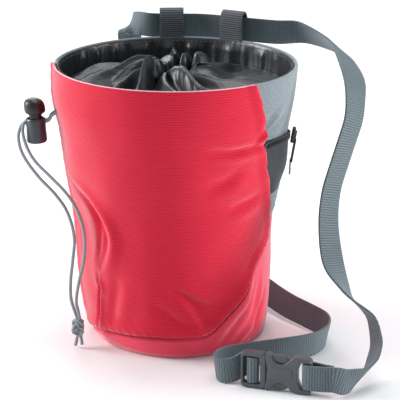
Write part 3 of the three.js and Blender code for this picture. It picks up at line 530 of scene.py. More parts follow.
def woven_plain_polyester(name, base, sheen_tint, contrast=1.0, roughness=0.74, bloom=1):
    """Plain woven polyester. A fine even grain, with soft light along its folds."""
    settings = {
        "Roughness": roughness,
        "Specular IOR Level": 0.25,
        "Sheen Weight": bloom,
        "Sheen Roughness": 0.45,
        "Sheen Tint": (*sheen_tint, 1),
    }
    material, tree, shader = start_material(name, settings)
    mapped, across, along = cloth_axes(tree)
    # Yarns about 0.35 mm apart are drawn at 0.7 mm so that they show.
    weave = ribs(across, 0.0007) * ribs(along, 0.0007)
    thread = speckle(tree, mapped, 0.0007)
    bumped(shader, weave * 0.5 + thread, 0.00012, 0.7)
    factor = (thread * 0.7 + speckle(tree, mapped, 0.024) * 0.4).clamped()
    coloured(shader, factor, shade(base, 1 - 0.3 * contrast), shade(base, 1 + 0.14 * contrast, 0.01))
    return material


def woven_melange_polyester(colours):
    """Melange cloth, woven of light and dark yarns. It looks mottled along its yarns, and is quite matt."""
    settings = {"Roughness": 0.8, "Sheen Weight": 0.3, "Sheen Roughness": 0.5}
    material, tree, shader = start_material("woven_melange_polyester", settings)
    mapped = cloth_axes(tree)[0]
    weft = speckle(tree, mapped, 0.0009, 3, (0.35, 1.5, 1))
    warp = speckle(tree, mapped, 0.0009, 3, (1.5, 0.35, 1))
    yarn = weft * 0.55 + warp * 0.45
    factor = ((yarn - 0.38) * 3.6).clamped() * 0.8 + speckle(tree, mapped, 0.02) * 0.2
    coloured(shader, factor, shade(colours.melange, 0.66), shade(colours.melange, 1.2, 0.02))
    bumped(shader, yarn, 0.0002, 0.6)
    return material


def woven_nylon_taffeta(colours):
    """Thin, tightly woven nylon. It is dark, with soft bright streaks along its folds and small crinkles. Its
    colour is lighter in streaks along the crinkles, which is painted highlight.
    """
    settings = {"Sheen Weight": 0.05, "Sheen Roughness": 0.3, "Specular IOR Level": 0.75}
    material, tree, shader = start_material("woven_nylon_taffeta", settings)
    mapped = cloth_axes(tree)[0]
    crinkle_and_painted_streaks = speckle(tree, mapped, 0.006, 3, (1.6, 0.5, 1))
    fine = speckle(tree, mapped, 0.0009)
    bumped(shader, crinkle_and_painted_streaks + fine * 0.08, 0.0009, 0.5)
    roughened(shader, fine, 0.3, 0.46)
    # The colour is lighter on the crinkle streaks, as painted highlight.
    coloured(shader, crinkle_and_painted_streaks, shade(colours.lining, 0.6), shade(colours.lining, 1.35))
    return material


def woven_webbing(name, base, pitch, light, dark):
    """Polypropylene webbing. Its weft makes ribs straight across, and its warp yarns run along them."""
    settings = {"Roughness": 0.6, "Sheen Weight": 0.25, "Sheen Roughness": 0.4}
    material, tree, shader = start_material(name, settings)
    mapped, across, along = cloth_axes(tree)
    cross = ribs(along, pitch)
    warp = ribs(across, 0.00115)
    # Each warp yarn passes over every other rib, so the knots step from yarn to yarn; their lighter colour is
    # a painted highlight.
    knots = ribs(along + across * (pitch / 0.0023), pitch * 2)
    thread = speckle(tree, mapped, 0.0006, 2, (1.6, 0.5, 1))
    bumped(shader, cross + warp * 0.35 + knots * 0.2, 0.00022, 0.8)
    # The colour is darker between the cross ribs, as painted shade, and lighter on the knots, as painted
    # highlight, with random thread tone.
    factor = (cross * 0.6 + thread * 0.4 + knots * 0.14).clamped()
    coloured(shader, factor, shade(base, dark), shade(base, light, 0.01))
    return material


def braided_polyester(colours):
    """Braided cord of round yarns. Two sets of yarns cross at a slant all along it."""
    settings = {"Roughness": 0.66, "Sheen Weight": 0.3, "Sheen Roughness": 0.4}
    material, tree, shader = start_material("braided_polyester", settings)
    mapped, across, along = cloth_axes(tree)
    # A 2 mm braid has about 16 yarns; it is drawn with 8, so that they show.
    lean = across * 1.25
    braid = ribs(along + lean, 0.00157).step("MAXIMUM", ribs(along - lean, 0.00157))
    bumped(shader, braid, 0.0002, 0.8)
    # The colour is darker in the grooves between the yarns, as painted shade, with random fibre tone.
    factor = (braid * 0.65 + speckle(tree, mapped, 0.0008) * 0.4).clamped()
    coloured(shader, factor, shade(colours.cord, 0.4), shade(colours.cord, 1.3, 0.02))
    return material


def moulded_plastic(name, base, roughness, grain, coat=0.0):
    """Injection moulded acetal. A smooth even skin, with the fine grain of its mould."""
    settings = {"Coat Weight": coat, "Coat Roughness": 0.12, "IOR": 1.48}
    material, tree, shader = start_material(name, settings)
    place = add(tree, "ShaderNodeTexCoord").outputs["Object"]
    fine = speckle(tree, place, 0.0006, 3)
    broad = speckle(tree, place, 0.009)
    bumped(shader, fine, 0.00004 * grain, 0.5)
    roughened(shader, broad, roughness * 0.85, roughness * 1.25)
    coloured(shader, broad, shade(base, 0.88), shade(base, 1.1, 0.004))
    return material


def spun_thread(name, base):
    """Spun polyester sewing thread, twisted, so that it glints in short dashes."""
    material, tree, shader = start_material(name, {"Roughness": 0.5, "Sheen Weight": 0.3})
    place = add(tree, "ShaderNodeTexCoord").outputs["Object"]
    coloured(shader, speckle(tree, place, 0.0006), shade(base, 0.7), shade(base, 1.3))
    return material


def painted_floor(colours):
    """Matt white paint on a studio floor, with a trace of unevenness."""
    material, tree, shader = start_material("painted_floor", {"Roughness": 0.9, "Specular IOR Level": 0.1})
    place = add(tree, "ShaderNodeTexCoord").outputs["Object"]
    base = tuple(colours.floor)
    coloured(shader, speckle(tree, place, 0.2), shade(base, 0.97), base)
    return material


def material_named(name):
    """A finish of the bag, made the first time that a piece needs it."""
    made = bpy.data.materials.get(name)
    if made:
        return made
    colours = bpy.context.scene.chalk_bag_colours
    sizes = bpy.context.scene.chalk_bag_sizes
    pitch = sizes.web_pitch
    pink = (1, 0.66, 0.72)
    grey = (0.8, 0.85, 0.9)
    makers = {
        "woven_grosgrain_polyester": lambda: woven_grosgrain_polyester(colours, sizes),
        "woven_red_polyester": lambda: woven_plain_polyester(name, colours.plain, pink),
        "folded_red_edge_painted_highlight": lambda: woven_plain_polyester(name, colours.edge, pink, 0.6),
        "woven_melange_polyester": lambda: woven_melange_polyester(colours),
        "woven_pocket_polyester": lambda: woven_plain_polyester(name, colours.pocket, grey, 0.8, 0.7, 0.15),
        "woven_nylon_taffeta": lambda: woven_nylon_taffeta(colours),
        "woven_belt_webbing": lambda: woven_webbing(name, colours.webbing, pitch, 1.3, 0.42),
        "woven_webbing_inside": lambda: woven_webbing(name, colours.shaded_webbing_inside, pitch, 1.5, 0.7),
        "woven_loop_webbing": lambda: woven_webbing(name, colours.loops, LOOP_PITCH * MM, 4.2, 0.35),
        "braided_polyester": lambda: braided_polyester(colours),
        "moulded_grey_acetal": lambda: moulded_plastic(name, colours.buckle, 0.36, 1),
        "moulded_dark_acetal": lambda: moulded_plastic(name, colours.lock, 0.3, 0.6, 0.2),
        "moulded_black_acetal": lambda: moulded_plastic(name, colours.button, 0.42, 0.15, 0.2),
        "spun_grey_thread": lambda: spun_thread(name, colours.thread),
        "painted_floor": lambda: painted_floor(colours),
    }
    return makers[name]()


class ChalkBagStage(bpy.types.Operator):
    """Pale floor, soft studio lights and the camera at the photograph's angle"""

    bl_idname = "chalk_bag.stage"
    bl_label = "Stage"

    def execute(self, context):
        scene = context.scene
        floor = bmesh.new()
        bmesh.ops.create_grid(floor, x_segments=8, y_segments=8, size=6000)
        piece = finished("studio_floor", floor, material_named("painted_floor"))
        world = bpy.data.worlds.new("soft_daylight")
        world.use_nodes = True
        world.node_tree.nodes["Background"].inputs["Color"].default_value = (0.93, 0.96, 1, 1)
        world.node_tree.nodes["Background"].inputs["Strength"].default_value = 0.46
        scene.world = world
        target = Vector((0.02, 0, 0.09))
        for name, place, size, power in (
            ("key_softbox", (-1.5, -0.2, 0.7), 0.8, 29),
            ("top_softbox", (0.1, 0.3, 1.6), 1.0, 12),
            ("fill_softbox", (1.15, 0.08, 0.1), 0.5, 17),
            ("back_softbox", (-0.7, 1.3, 0.9), 0.8, 7),
        ):
            data = bpy.data.lights.new(name, "AREA")
            data.size = size
            data.energy = power
            light = bpy.data.objects.new(name, data)
            light.location = place
            light.rotation_euler = (target - Vector(place)).to_track_quat("-Z", "Y").to_euler()
            scene.collection.objects.link(light)
        camera_data = bpy.data.cameras.new("photo_camera")
        camera_data.lens = CAMERA_LENS
        camera_data.sensor_width = 36
        camera = bpy.data.objects.new("photo_camera", camera_data)
        camera.location = CAMERA_PLACE
        level = math.cos(CAMERA_PITCH)
        ahead = Vector((-math.sin(LAID_TURN) * level, math.cos(LAID_TURN) * level, -math.sin(CAMERA_PITCH)))
        camera.rotation_euler = ahead.to_track_quat("-Z", "Y").to_euler()
        scene.collection.objects.link(camera)
        scene.camera = camera
        scene.view_settings.view_transform = "Standard"
        return {"FINISHED"}


# Points of the two strands, from the bag through the cord lock to the knot, before the laid parts are turned.
OUTER_STRAND = [
    (-66.5, -8.8, 141), (-70, -9, 140.6), (-72, -9, 139.6), (-73.6, -9, 138.4), (-74.8, -8.9, 135.9),
    (-77, -8.9, 134.75), (-82.4, -8.9, 134.45), (-87.5, -8.9, 134.3), (-90.3, -9.3, 133),
    (-92.4, -10.6, 129.8), (-93.2, -12.6, 125), (-91.6, -15.5, 118), (-87.4, -18.5, 111),
    (-80.3, -22.5, 102.8), (-71.6, -27.6, 95.2), (-65, -31.4, 87.2), (-61.2, -34, 78),
    (-59.8, -35, 68), (-61, -35, 56), (-62.6, -34.4, 43), (-62.8, -34.2, 32), (-61, -34, 24),
    (-59.3, -34.1, 18.8),
]
INNER_STRAND = [
    (-66.5, -11.8, 140.8), (-70, -11.7, 140.3), (-71.6, -11.6, 139.4), (-73.4, -11.5, 138.2),
    (-74.5, -11.2, 136), (-76.5, -11.1, 134.65), (-82.4, -11.1, 134.45), (-88.6, -11.1, 134.2),
    (-90.2, -11.8, 132.2), (-90.3, -13.6, 127), (-87.6, -16, 119), (-82.6, -20, 112),
    (-74, -25.6, 105), (-64.6, -31.6, 97), (-58.2, -35.6, 88.4), (-54.6, -37.8, 78.6),
    (-53.4, -38, 69), (-54.4, -37.4, 56), (-57.4, -36.4, 43.3), (-59.4, -36.6, 31), (-58.4, -36.6, 24),
    (-57.6, -36.2, 18.8),
]
KNOT_MIDDLE = Vector((-58.3, -35.2, 13.4))
KNOT_TAILS = [
    [(-59.3, -35.2, 7.2), (-59.8, -35.4, 5), (-60.6, -36, 1.6)],
    [(-57.2, -35.4, 7.4), (-56.9, -36.2, 5.6), (-56.4, -37.4, 2.6)],
]


def knot_line(beside, start, tail):
    """One of two cords that are tied side by side in an overhand knot, from its strand to its tail."""
    turns = []
    count = 30
    for i in range(count + 1):
        t = math.pi + 0.5 + (2 * math.pi - 1) * i / count
        across = -(math.cos(t) - 2 * math.cos(2 * t))
        up = math.sin(t) + 2 * math.sin(2 * t)
        turns.append(Vector((across * 1.2, -math.sin(3 * t) * 1.5, up * 1.3)))
    line = []
    for i, point in enumerate(turns):
        side = ahead_at(turns, i).cross(Vector((0, 1, 0))).normalized()
        line.append(KNOT_MIDDLE + point + side * beside)
    if line[0].z < line[-1].z:
        line.reverse()
    return [Vector(start)] + line + [Vector(p) for p in tail]


class ChalkBagDrawstring(bpy.types.Operator):
    """The two braided strands of the drawstring and the overhand knot that joins them"""

    bl_idname = "chalk_bag.drawstring"
    bl_label = "Drawstring"

    def execute(self, context):
        diameter = context.scene.chalk_bag_sizes.cord_diameter
        radius = diameter / MM / 2
        braid = material_named("braided_polyester")
        strands = []
        for name, route in (("outer", OUTER_STRAND), ("inner", INNER_STRAND)):
            line = evenly(smooth_path([laid(p) for p in route], 8), 0.8)
            strand = finished("drawstring_strand_" + name, tube_shape(line, radius, 14), braid)
            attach(strand, "bag")
            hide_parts("drawstring_" + name)
            strands.append((strand, line))
        knot = bmesh.new()
        ends = (OUTER_STRAND[-1], INNER_STRAND[-1])
        for beside, start, tail in ((-1.02, ends[0], KNOT_TAILS[0]), (1.02, ends[1], KNOT_TAILS[1])):
            line = evenly(smooth_path([laid(p) for p in knot_line(beside, start, tail)], 4), 0.5)
            merge(knot, tube_shape(line, radius * 0.98, 14))
        piece = finished("overhand_knot", knot, braid)
        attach(piece, "bag")
        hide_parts("drawstring_knot")
        for i, (strand, line) in enumerate(strands):
            tuple(line[0] * MM)
            line_length(line) * MM
            [tuple(p * MM) for p in line]
            [piece] if i == 0 else ()
        return {"FINISHED"}


def merge(whole, part):
    """Adds one bmesh to another, with its UV map."""
    mesh = bpy.data.meshes.new("part")
    part.to_mesh(mesh)
    part.free()
    whole.from_mesh(mesh)
    bpy.data.meshes.remove(mesh)


RIM_ROLL = 1.0
RIM_ROWS = 0.07


def up_and_over(shape, low, rise, inside=2.0):
    """Height and outward place along cloth that goes up the wall, rolls over the rim and ends inside it."""
    straight = shape.height - RIM_ROLL
    if rise <= 1 - RIM_ROWS:
        return mix(low, straight, rise / (1 - RIM_ROWS)), 0, 0
    rolled = (rise - 1 + RIM_ROWS) / RIM_ROWS * (math.pi * RIM_ROLL + inside)
    turn = rolled / RIM_ROLL
    if turn <= math.pi:
        return straight + RIM_ROLL * math.sin(turn), RIM_ROLL * (math.cos(turn) - 1), rolled
    return straight - (rolled - math.pi * RIM_ROLL), -2 * RIM_ROLL, rolled


def over_lap(distance):
    """How far a panel stands proud near an edge that lies over its neighbour, with the edge rolled in."""
    return 1.5 * smooth_step(10, 2, distance) - 0.5 * smooth_step(0.8, 0, distance)


def pucker(along, distance, depth=0.22):
    """Small waves that the sewing draws into the cloth beside a seam."""
    wave = math.sin(along / 1.35) + 0.6 * math.sin(along / 0.83 + 1.2)
    return depth * wave * math.exp(-distance / 3.5)


class ChalkBagPanels(bpy.types.Operator):
    """The three outer panels: ribbed front, melange side and back, and plain lower panel"""

    bl_idname = "chalk_bag.panels"
    bl_label = "Outer panels"

    def execute(self, context):
        shape = BagShape(context.scene.chalk_bag_sizes)
        self.front(shape)
        self.side_and_back(shape)
        self.lower(shape)
        return {"FINISHED"}

    def front(self, shape):
        wide = math.radians(SEAM_CORNER - LEFT_SEAM) * shape.mouth

        def place(across, rise):
            low = mix(LEFT_SEAM, SEAM_CORNER, across)
            low_z = shape.front_seam(low)
            z, rolled_in, rolled = up_and_over(shape, low_z, rise)
            level = min(z, shape.height)
            around = low + across * (shape.right_seam(level) - shape.right_seam(low_z))
            side = min(across, 1 - across) * wide
            foot = (z - low_z) * 0.9 if rolled == 0 else FAR
            near = min(side, foot)
            out = over_lap(near) + pucker(z + around * 1.3, near)
            return shape.point(around, z, rolled_in + out), (shape.arc(around), z + 2 * rolled)

        cloth = material_named("woven_grosgrain_polyester")
        piece = finished("front_panel_cloth", grid_shape(168, 150, place), cloth)
        thicken(piece, shape.cloth)
        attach(piece, "bag")
        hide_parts("front_panel")

        # A thin pale tube along the rim and down the right seam is a painted highlight on the folded edge.
        line = []
        for i in range(90):
            around = mix(LEFT_SEAM + 0.8, shape.right_seam(shape.height) - 0.6, i / 89)
            line.append(shape.point(around, shape.height - 0.12, -0.55))
        for i in range(1, 110):
            z = mix(shape.height - 1, shape.height * 0.39, i / 109)
            line.append(shape.point(shape.right_seam(z) - 0.25, z, 0.12))
        tube = tube_shape(evenly(line, 0.9), 0.36, 8)
        edge = finished("front_panel_edge_painted_highlight", tube, material_named("folded_red_edge_painted_highlight"))
        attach(edge, "bag")

    def side_and_back(self, shape):
        wide = 224

        def place(across, rise):
            low = mix(SEAM_CORNER - 3, LEFT_SEAM + 360 + 3, across)
            low_z = shape.back_seam(low)
            z, rolled_in, rolled = up_and_over(shape, low_z, rise)
            level = min(z, shape.height)
            around = low + (1 - across) ** 3 * (shape.right_seam(level) - shape.right_seam(low_z))
            side = min(across, 1 - across) * wide
            foot = (z - low_z) * 0.9 if rolled == 0 else FAR
            tucked = -0.75 * smooth_step(9, 3, side)
            out = over_lap(foot) * smooth_step(3, 9, side) + tucked + pucker(z + around, min(side, foot))
            return shape.point(around, z, rolled_in + out), (shape.arc(around), z + 2 * rolled)

        cloth = material_named("woven_melange_polyester")
        piece = finished("side_back_panel_cloth", grid_shape(200, 84, place), cloth)
        thicken(piece, shape.cloth)
        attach(piece, "bag")
        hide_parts("side_back_panel")

    def lower(self, shape):
        columns, rows = 320, 96
        front_columns = 142
        floor_rows = 14 / rows
        tuck = 2.6

        def turn_of(across):
            i = round(across * columns)
            if i == 0 or i == columns:
                return LEFT_SEAM - 0.2 if i == 0 else LEFT_SEAM + 359.8
            if i <= front_columns:
                return mix(LEFT_SEAM + 0.2, SEAM_CORNER - 0.2, (i - 1) / (front_columns - 1))
            share = (i - front_columns - 1) / (columns - front_columns - 1)
            return mix(SEAM_CORNER + 0.2, LEFT_SEAM + 359.8, share)

        def top(turn):
            if LEFT_SEAM <= turn <= SEAM_CORNER:
                return shape.front_seam(turn) + tuck
            return shape.back_seam(turn % 360) + tuck

        def place(across, rise):
            turn = turn_of(across)
            rolled = 3.2
            if rise < floor_rows:
                share = rise / floor_rows
                edge = shape.point(turn, 0, -rolled)
                middle = shape.mouth * 0.02
                point = Vector((mix(middle, edge.x, share), edge.y * share, 0.25 * (1 - share)))
                return point, (point.x, -point.y)
            share = (rise - floor_rows) / (1 - floor_rows)
            high = top(turn)
            z = high * share**1.25
            # The wall meets the floor in a soft bend.
            bend = rolled * max(1 - z / (rolled * 1.3), 0) ** 1.7
            under = -2.8 * smooth_step(6, tuck, high - z)
            sag = 0.35 * math.sin(math.radians(turn * 7)) * smooth_step(0.16, 0.03, z / shape.height)
            out = under + sag - bend
            return shape.point(turn, z, out), (shape.arc(turn), z)

        grid = grid_shape(columns, rows, place, closed=True)
        piece = finished("base_panel_cloth", grid, material_named("woven_red_polyester"))
        thicken(piece, shape.cloth)
        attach(piece, "bag")
        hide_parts("base_panel")


def hang_on_bag(shape, around, z, outward):
    """Where a part on the bag's wall goes: +X round the bag, -Y away from the cloth, +Z up along it."""
    reach = 5
    widening = shape.radius(around, z + reach, False) - shape.radius(around, z - reach, False)
    flare = math.atan(widening / (2 * reach))
    place = shape.point(around, z, outward, False)
    turn = Matrix.Rotation(math.radians(around), 4, "Z") @ Matrix.Rotation(flare, 4, "X")
    return Matrix.Translation(place) @ turn


def plate_shape(outline, depth, rounding, segments=3, inner=None):
    """A plate in the upright plane from the corners of its outline, with rounded edges. inner is a hole."""
    shape = bmesh.new()

    def loop(corners):
        points = [shape.verts.new((x, depth / 2, z)) for x, z in corners]
        return [shape.edges.new((points[i], points[(i + 1) % len(points)])) for i in range(len(points))]

    edges = loop(outline)
    if inner:
        bmesh.ops.bridge_loops(shape, edges=edges + loop(inner))
    else:
        bmesh.ops.contextual_create(shape, geom=edges)
    moved = bmesh.ops.extrude_face_region(shape, geom=list(shape.faces))["geom"]
    raised = [v for v in moved if isinstance(v, bmesh.types.BMVert)]
    bmesh.ops.translate(shape, vec=(0, -depth, 0), verts=raised)
    bmesh.ops.recalc_face_normals(shape, faces=shape.faces)
    if rounding:
        limit = math.radians(50)
        sharp = [e for e in shape.edges if len(e.link_faces) == 2 and e.calc_face_angle(0) > limit]
        bmesh.ops.bevel(
            shape,
            geom=sharp,
            offset=rounding,
            offset_type="OFFSET",
            segments=segments,
            profile=0.5,
            affect="EDGES",
            material=-1,
            clamp_overlap=True,
        )
    return shape


def rounded_outline(left, bottom, width, height, corner, steps=4):
    """Corners of a rectangle with rounded corners."""
    points = []
    right, top = left + width, bottom + height
    for x, z, start in (
        (right - corner, bottom + corner, -90),
        (right - corner, top - corner, 0),
        (left + corner, top - corner, 90),
        (left + corner, bottom + corner, 180),
    ):
        for i in range(steps + 1):
            turn = math.radians(start + 90 * i / steps)
            points.append((x + corner * math.cos(turn), z + corner * math.sin(turn)))
    return points


def sharp_above(shape, degrees):
    """Keeps the shading crisp at edges that turn more than this."""
    for edge in shape.edges:
        if len(edge.link_faces) == 2 and edge.calc_face_angle(0) > math.radians(degrees):
            edge.smooth = False


def stitch_shape(places, length, thread=0.32):
    """Short raised stitches: each place is a point on the cloth and the way that the stitch runs."""
    shape = bmesh.new()
    for point, ahead in places:
        turn = Vector(ahead).to_track_quat("X", "Z").to_matrix().to_4x4()
        size = Matrix.Diagonal((length / 2, thread, thread * 0.8, 1))
        matrix = Matrix.Translation(point) @ turn @ size
        bmesh.ops.create_uvsphere(shape, u_segments=6, v_segments=5, radius=1, matrix=matrix)
    return shape


def stitches_along(line, pitch, length, thread=0.32):
    """Stitches spaced along a line of points."""
    points = evenly(line, pitch)
    return stitch_shape([(point, ahead_at(points, i)) for i, point in enumerate(points)], length, thread)


class ChalkBagPocket(bpy.types.Operator):
    """The zip pocket: its cloth, the zip with its teeth, the slider, the pull and the thin cord loop"""

    bl_idname = "chalk_bag.pocket"
    bl_label = "Zip pocket"

    zip_width = 5

    def turn(self, shape, across, z):
        return mix(shape.right_seam(z) - 1.2, POCKET_END, across)

    def execute(self, context):
        shape = BagShape(context.scene.chalk_bag_sizes)
        zip_width = self.zip_width

        def cloth_place(across, rise):
            low = shape.height * look_up(POCKET, across)
            high = shape.height * look_up(POCKET, across, 2) - zip_width + 0.8
            z = mix(low, high, rise)
            around = self.turn(shape, across, z)
            near = min((z - low), (high - z) + 1.4, (1 - across) * 80)
            full = 1.3 * math.sin(math.pi * min(max(rise, 0), 1))
            full *= math.sin(math.pi * min(across * 1.2, 1)) ** 0.6
            crease = 0.45 * math.sin(across * 17 + 3 * rise) * math.sin(math.pi * rise)
            out = 0.5 + full + crease + 0.5 * smooth_step(0, 2, near) - 1.1 * smooth_step(0.8, 0, near)
            return shape.point(around, z, out, False), (shape.arc(around), z)

        woven = material_named("woven_pocket_polyester")
        cloth = finished("pocket_cloth", grid_shape(90, 34, cloth_place), woven)
        thicken(cloth, 0.9)
        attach(cloth, "bag")
        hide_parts("pocket_panel")

        def tape_place(across, rise):
            high = shape.height * look_up(POCKET, across, 2)
            z = high - zip_width * (1 - rise)
            around = self.turn(shape, across, z)
            seam = 0.45 * smooth_step(0.25, 0.05, rise) + 0.45 * smooth_step(0.75, 0.95, rise)
            return shape.point(around, z, 1.1 + seam, False), (shape.arc(around), z)

        tape = finished("zip_tape", grid_shape(90, 12, tape_place), woven)
        thicken(tape, 0.8)
        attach(tape, "bag")
        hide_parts("pocket_zip")

        line = []
        for i in range(71):
            across = mix(0.03, 0.985, i / 70)
            z = shape.height * look_up(POCKET, across, 2) - zip_width / 2
            line.append(shape.point(self.turn(shape, across, z), z, 1.35, False))
        teeth = bmesh.new()
        for i, point in enumerate(evenly(line, 0.75)):
            around = math.atan2(point.x, -point.y)
            side = 0.55 if i % 2 else -0.55
            matrix = Matrix.Translation(point) @ Matrix.Rotation(around, 4, "Z")
            matrix = matrix @ Matrix.Translation((0, 0, side)) @ Matrix.Diagonal((0.5, 0.9, 1.3, 1))
            bmesh.ops.create_cube(teeth, size=1, matrix=matrix)
        edges = list(teeth.edges)
        bmesh.ops.bevel(teeth, geom=edges, offset=0.12, segments=1, profile=0.5, affect="EDGES", material=-1)
        row = finished("zip_teeth", teeth, material_named("moulded_black_acetal"), smooth=False)
        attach(row, "bag")
        self.slider(shape)
        return {"FINISHED"}

    def slider(self, shape):
        share = 0.43
        z = shape.height * look_up(POCKET, share, 2) - self.zip_width / 2
        hang = hang_on_bag(shape, mix(shape.right_seam(z) + 1, POCKET_END, share), z, 3.4)
        width = self.zip_width + 1
        outline = rounded_outline(-width / 2, -width * 0.8, width, width * 1.6, width * 0.34)
        body = plate_shape(outline, 2.2, 0.6)
        bridge = plate_shape(rounded_outline(-0.9, -width * 0.5, 1.8, width, 0.8), 2.6, 0.4)
        bmesh.ops.translate(bridge, vec=(0, -0.7, 0), verts=bridge.verts)
        pull = plate_shape(
            rounded_outline(-1.8, -17.2, 3.6, 15, 1.4),
            1.5,
            0.45,
            inner=rounded_outline(-0.9, -16.2, 1.8, 3.2, 0.7),
        )
        bmesh.ops.translate(pull, vec=(0, -1.7, 0), verts=pull.verts)
        merge(body, bridge)
        merge(body, pull)
        bmesh.ops.transform(body, matrix=hang, verts=body.verts)
        sharp_above(body, 40)
        slider = finished("zip_slider_and_pull", body, material_named("moulded_black_acetal"))
        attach(slider, "bag")
        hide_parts("zip_slider")

        line = []
        for i in range(41):
            turn = 2 * math.pi * i / 40
            narrow = 0.75 + 0.25 * math.sin(turn)
            across, up = 2.0 * math.sin(turn) * narrow, math.cos(turn)
            line.append(hang @ Vector((across, -1.7 - 0.5 * up, -20 - 4.4 * up)))
        tube = tube_shape(line, 0.62, 10, capped=False)
        loop = finished("zip_pull_cord", tube, material_named("braided_polyester"))
        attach(loop, "bag")
        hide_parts("zip_pull_loop")


LINING_DEPTH = 22
COLLAR_DROP = 15


def pleats(turn):
    """Uneven pleats of the gathered lining, from 0 to 1."""
    angle = math.radians(turn)
    sway = 0.9 * math.sin(3 * angle + 0.5) + 0.5 * math.sin(7 * angle + 2)
    wave = 0.5 + 0.5 * math.cos(24 * angle + 2.4 * sway)
    finer = 0.5 + 0.5 * math.cos(57 * angle + 3.1 * sway)
    return wave**1.8 * 0.75 + finer**2 * 0.25


def lining_inner(turn, drop):
    """How far the lining's face stands inside the outer cloth, at a depth in mm under the rim."""
    strength = smooth_step(0.8, 7, drop) * (0.75 + 0.5 * math.sin(math.radians(turn) * 2 + 1))
    return -(2.9 + 2.3 * pleats(turn) * strength + 0.5 * smooth_step(0, 2, drop))


class ChalkBagLining(bpy.types.Operator):
    """The pleated nylon lining inside the rim, and the gathered collar with its drawn hole"""

    bl_idname = "chalk_bag.lining"
    bl_label = "Lining and collar"

    def execute(self, context):
        shape = BagShape(context.scene.chalk_bag_sizes)
        nylon = material_named("woven_nylon_taffeta")

        def lining_place(across, rise):
            turn = 360 - 360 * across
            drop = mix(LINING_DEPTH, 0.5, rise)
            point = shape.point(turn, shape.height - drop, lining_inner(turn, drop), False)
            return point, (-shape.arc(turn), -drop)

        lining = finished("rim_lining_nylon", grid_shape(576, 30, lining_place, closed=True), nylon)
        thicken(lining, 0.5)
        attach(lining, "bag")
        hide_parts("rim_lining")

        collar = finished("drawstring_collar_nylon", self.collar(shape), nylon)
        thicken(collar, 0.5, rounding=0)
        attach(collar, "bag")
        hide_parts("drawstring_collar")

        drop = 2.6
        line = [shape.point(i, shape.height - drop, lining_inner(i, drop) - 0.05, False) for i in range(361)]
        stitches = stitches_along(line, 3, 2.1, 0.26)
        seam = finished("rim_stitches", stitches, material_named("spun_grey_thread"))
        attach(seam, "bag")
        return {"FINISHED"}

    def collar(self, shape):
        """A ring of cloth from the lining to the drawn hole. Its folds swirl in to a ruff round the hole."""
        level = shape.height - COLLAR_DROP
        hole_middle, hole_radius = Vector((shape.mouth * -0.07, shape.mouth * 0.16, level)), 8
        # The cloth laid flat is a strip, as long as a circle of this radius and this deep.
        flat_radius, flat_depth = 75, 80

        def place(across, inward):
            turn = 360 * across
            angle = math.radians(turn)
            edge = shape.point(turn, level, lining_inner(turn, COLLAR_DROP) - 0.4, False)
            out = Vector((math.sin(angle), -math.cos(angle), 0))
            along = Vector((math.cos(angle), math.sin(angle), 0))
            point = edge.lerp(hole_middle + out * hole_radius, inward)
            swirl = angle + math.radians(44) * inward**1.6
            strength = smooth_step(0.02, 0.3, inward)
            sway = 1.1 * math.sin(2 * swirl + 0.4) + 0.7 * math.sin(5 * swirl + 1.3)
            # Some gathers are full and some are slack.
            way = Vector((math.sin(angle) * 1.6, math.cos(angle) * 1.6, inward * 1.5))
            fullness = 1.15 + 1.6 * noise.noise(way)
            broad = math.cos(11 * swirl + sway)
            fine = math.cos(29 * swirl + 2 * sway + 3 * inward)
            ridge = 1 - abs(math.sin((11 * swirl + sway) / 2)) * 2
            # The cloth bellies up at the left and falls towards the front, then climbs to the ruff.
            belly = 4.6 * math.exp(-((math.sin((angle - math.radians(265)) / 2) / 0.42) ** 2))
            slope = 2.6 * math.exp(-((math.sin((angle - math.radians(120)) / 2) / 0.5) ** 2))
            dome = (belly + slope) * math.sin(math.pi * min(inward * 1.25, 1)) ** 0.8
            ruff = 11.5 * smooth_step(0.5, 0.84, inward) * smooth_step(1.06, 0.9, inward)
            lobes = 0.72 + 0.42 * math.cos(6 * swirl + 0.9 * sway) + 0.2 * math.cos(15 * swirl)
            z = level + 0.6 + dome + ruff * lobes
            z += strength * fullness * (1.5 * broad + 0.42 * fine + 1.2 * ridge) * (0.65 + 0.8 * inward)
            # Beside the hole the folds stand up and lean over one another.
            stand = smooth_step(0.55, 0.9, inward)
            push = stand * (3.3 * math.sin(7 * swirl + 1.4 * sway) + 1.1 * math.sin(16 * swirl + 1))
            point += out * push + along * (1.5 * stand * math.sin(13 * swirl + sway))
            point.z = z
            if inward > 0.9:
                point.z -= 10 * ((inward - 0.9) / 0.1) ** 1.3
            return point, (flat_radius * 2 * math.pi * across, inward * flat_depth)

        return grid_shape(540, 96, place, closed=True)


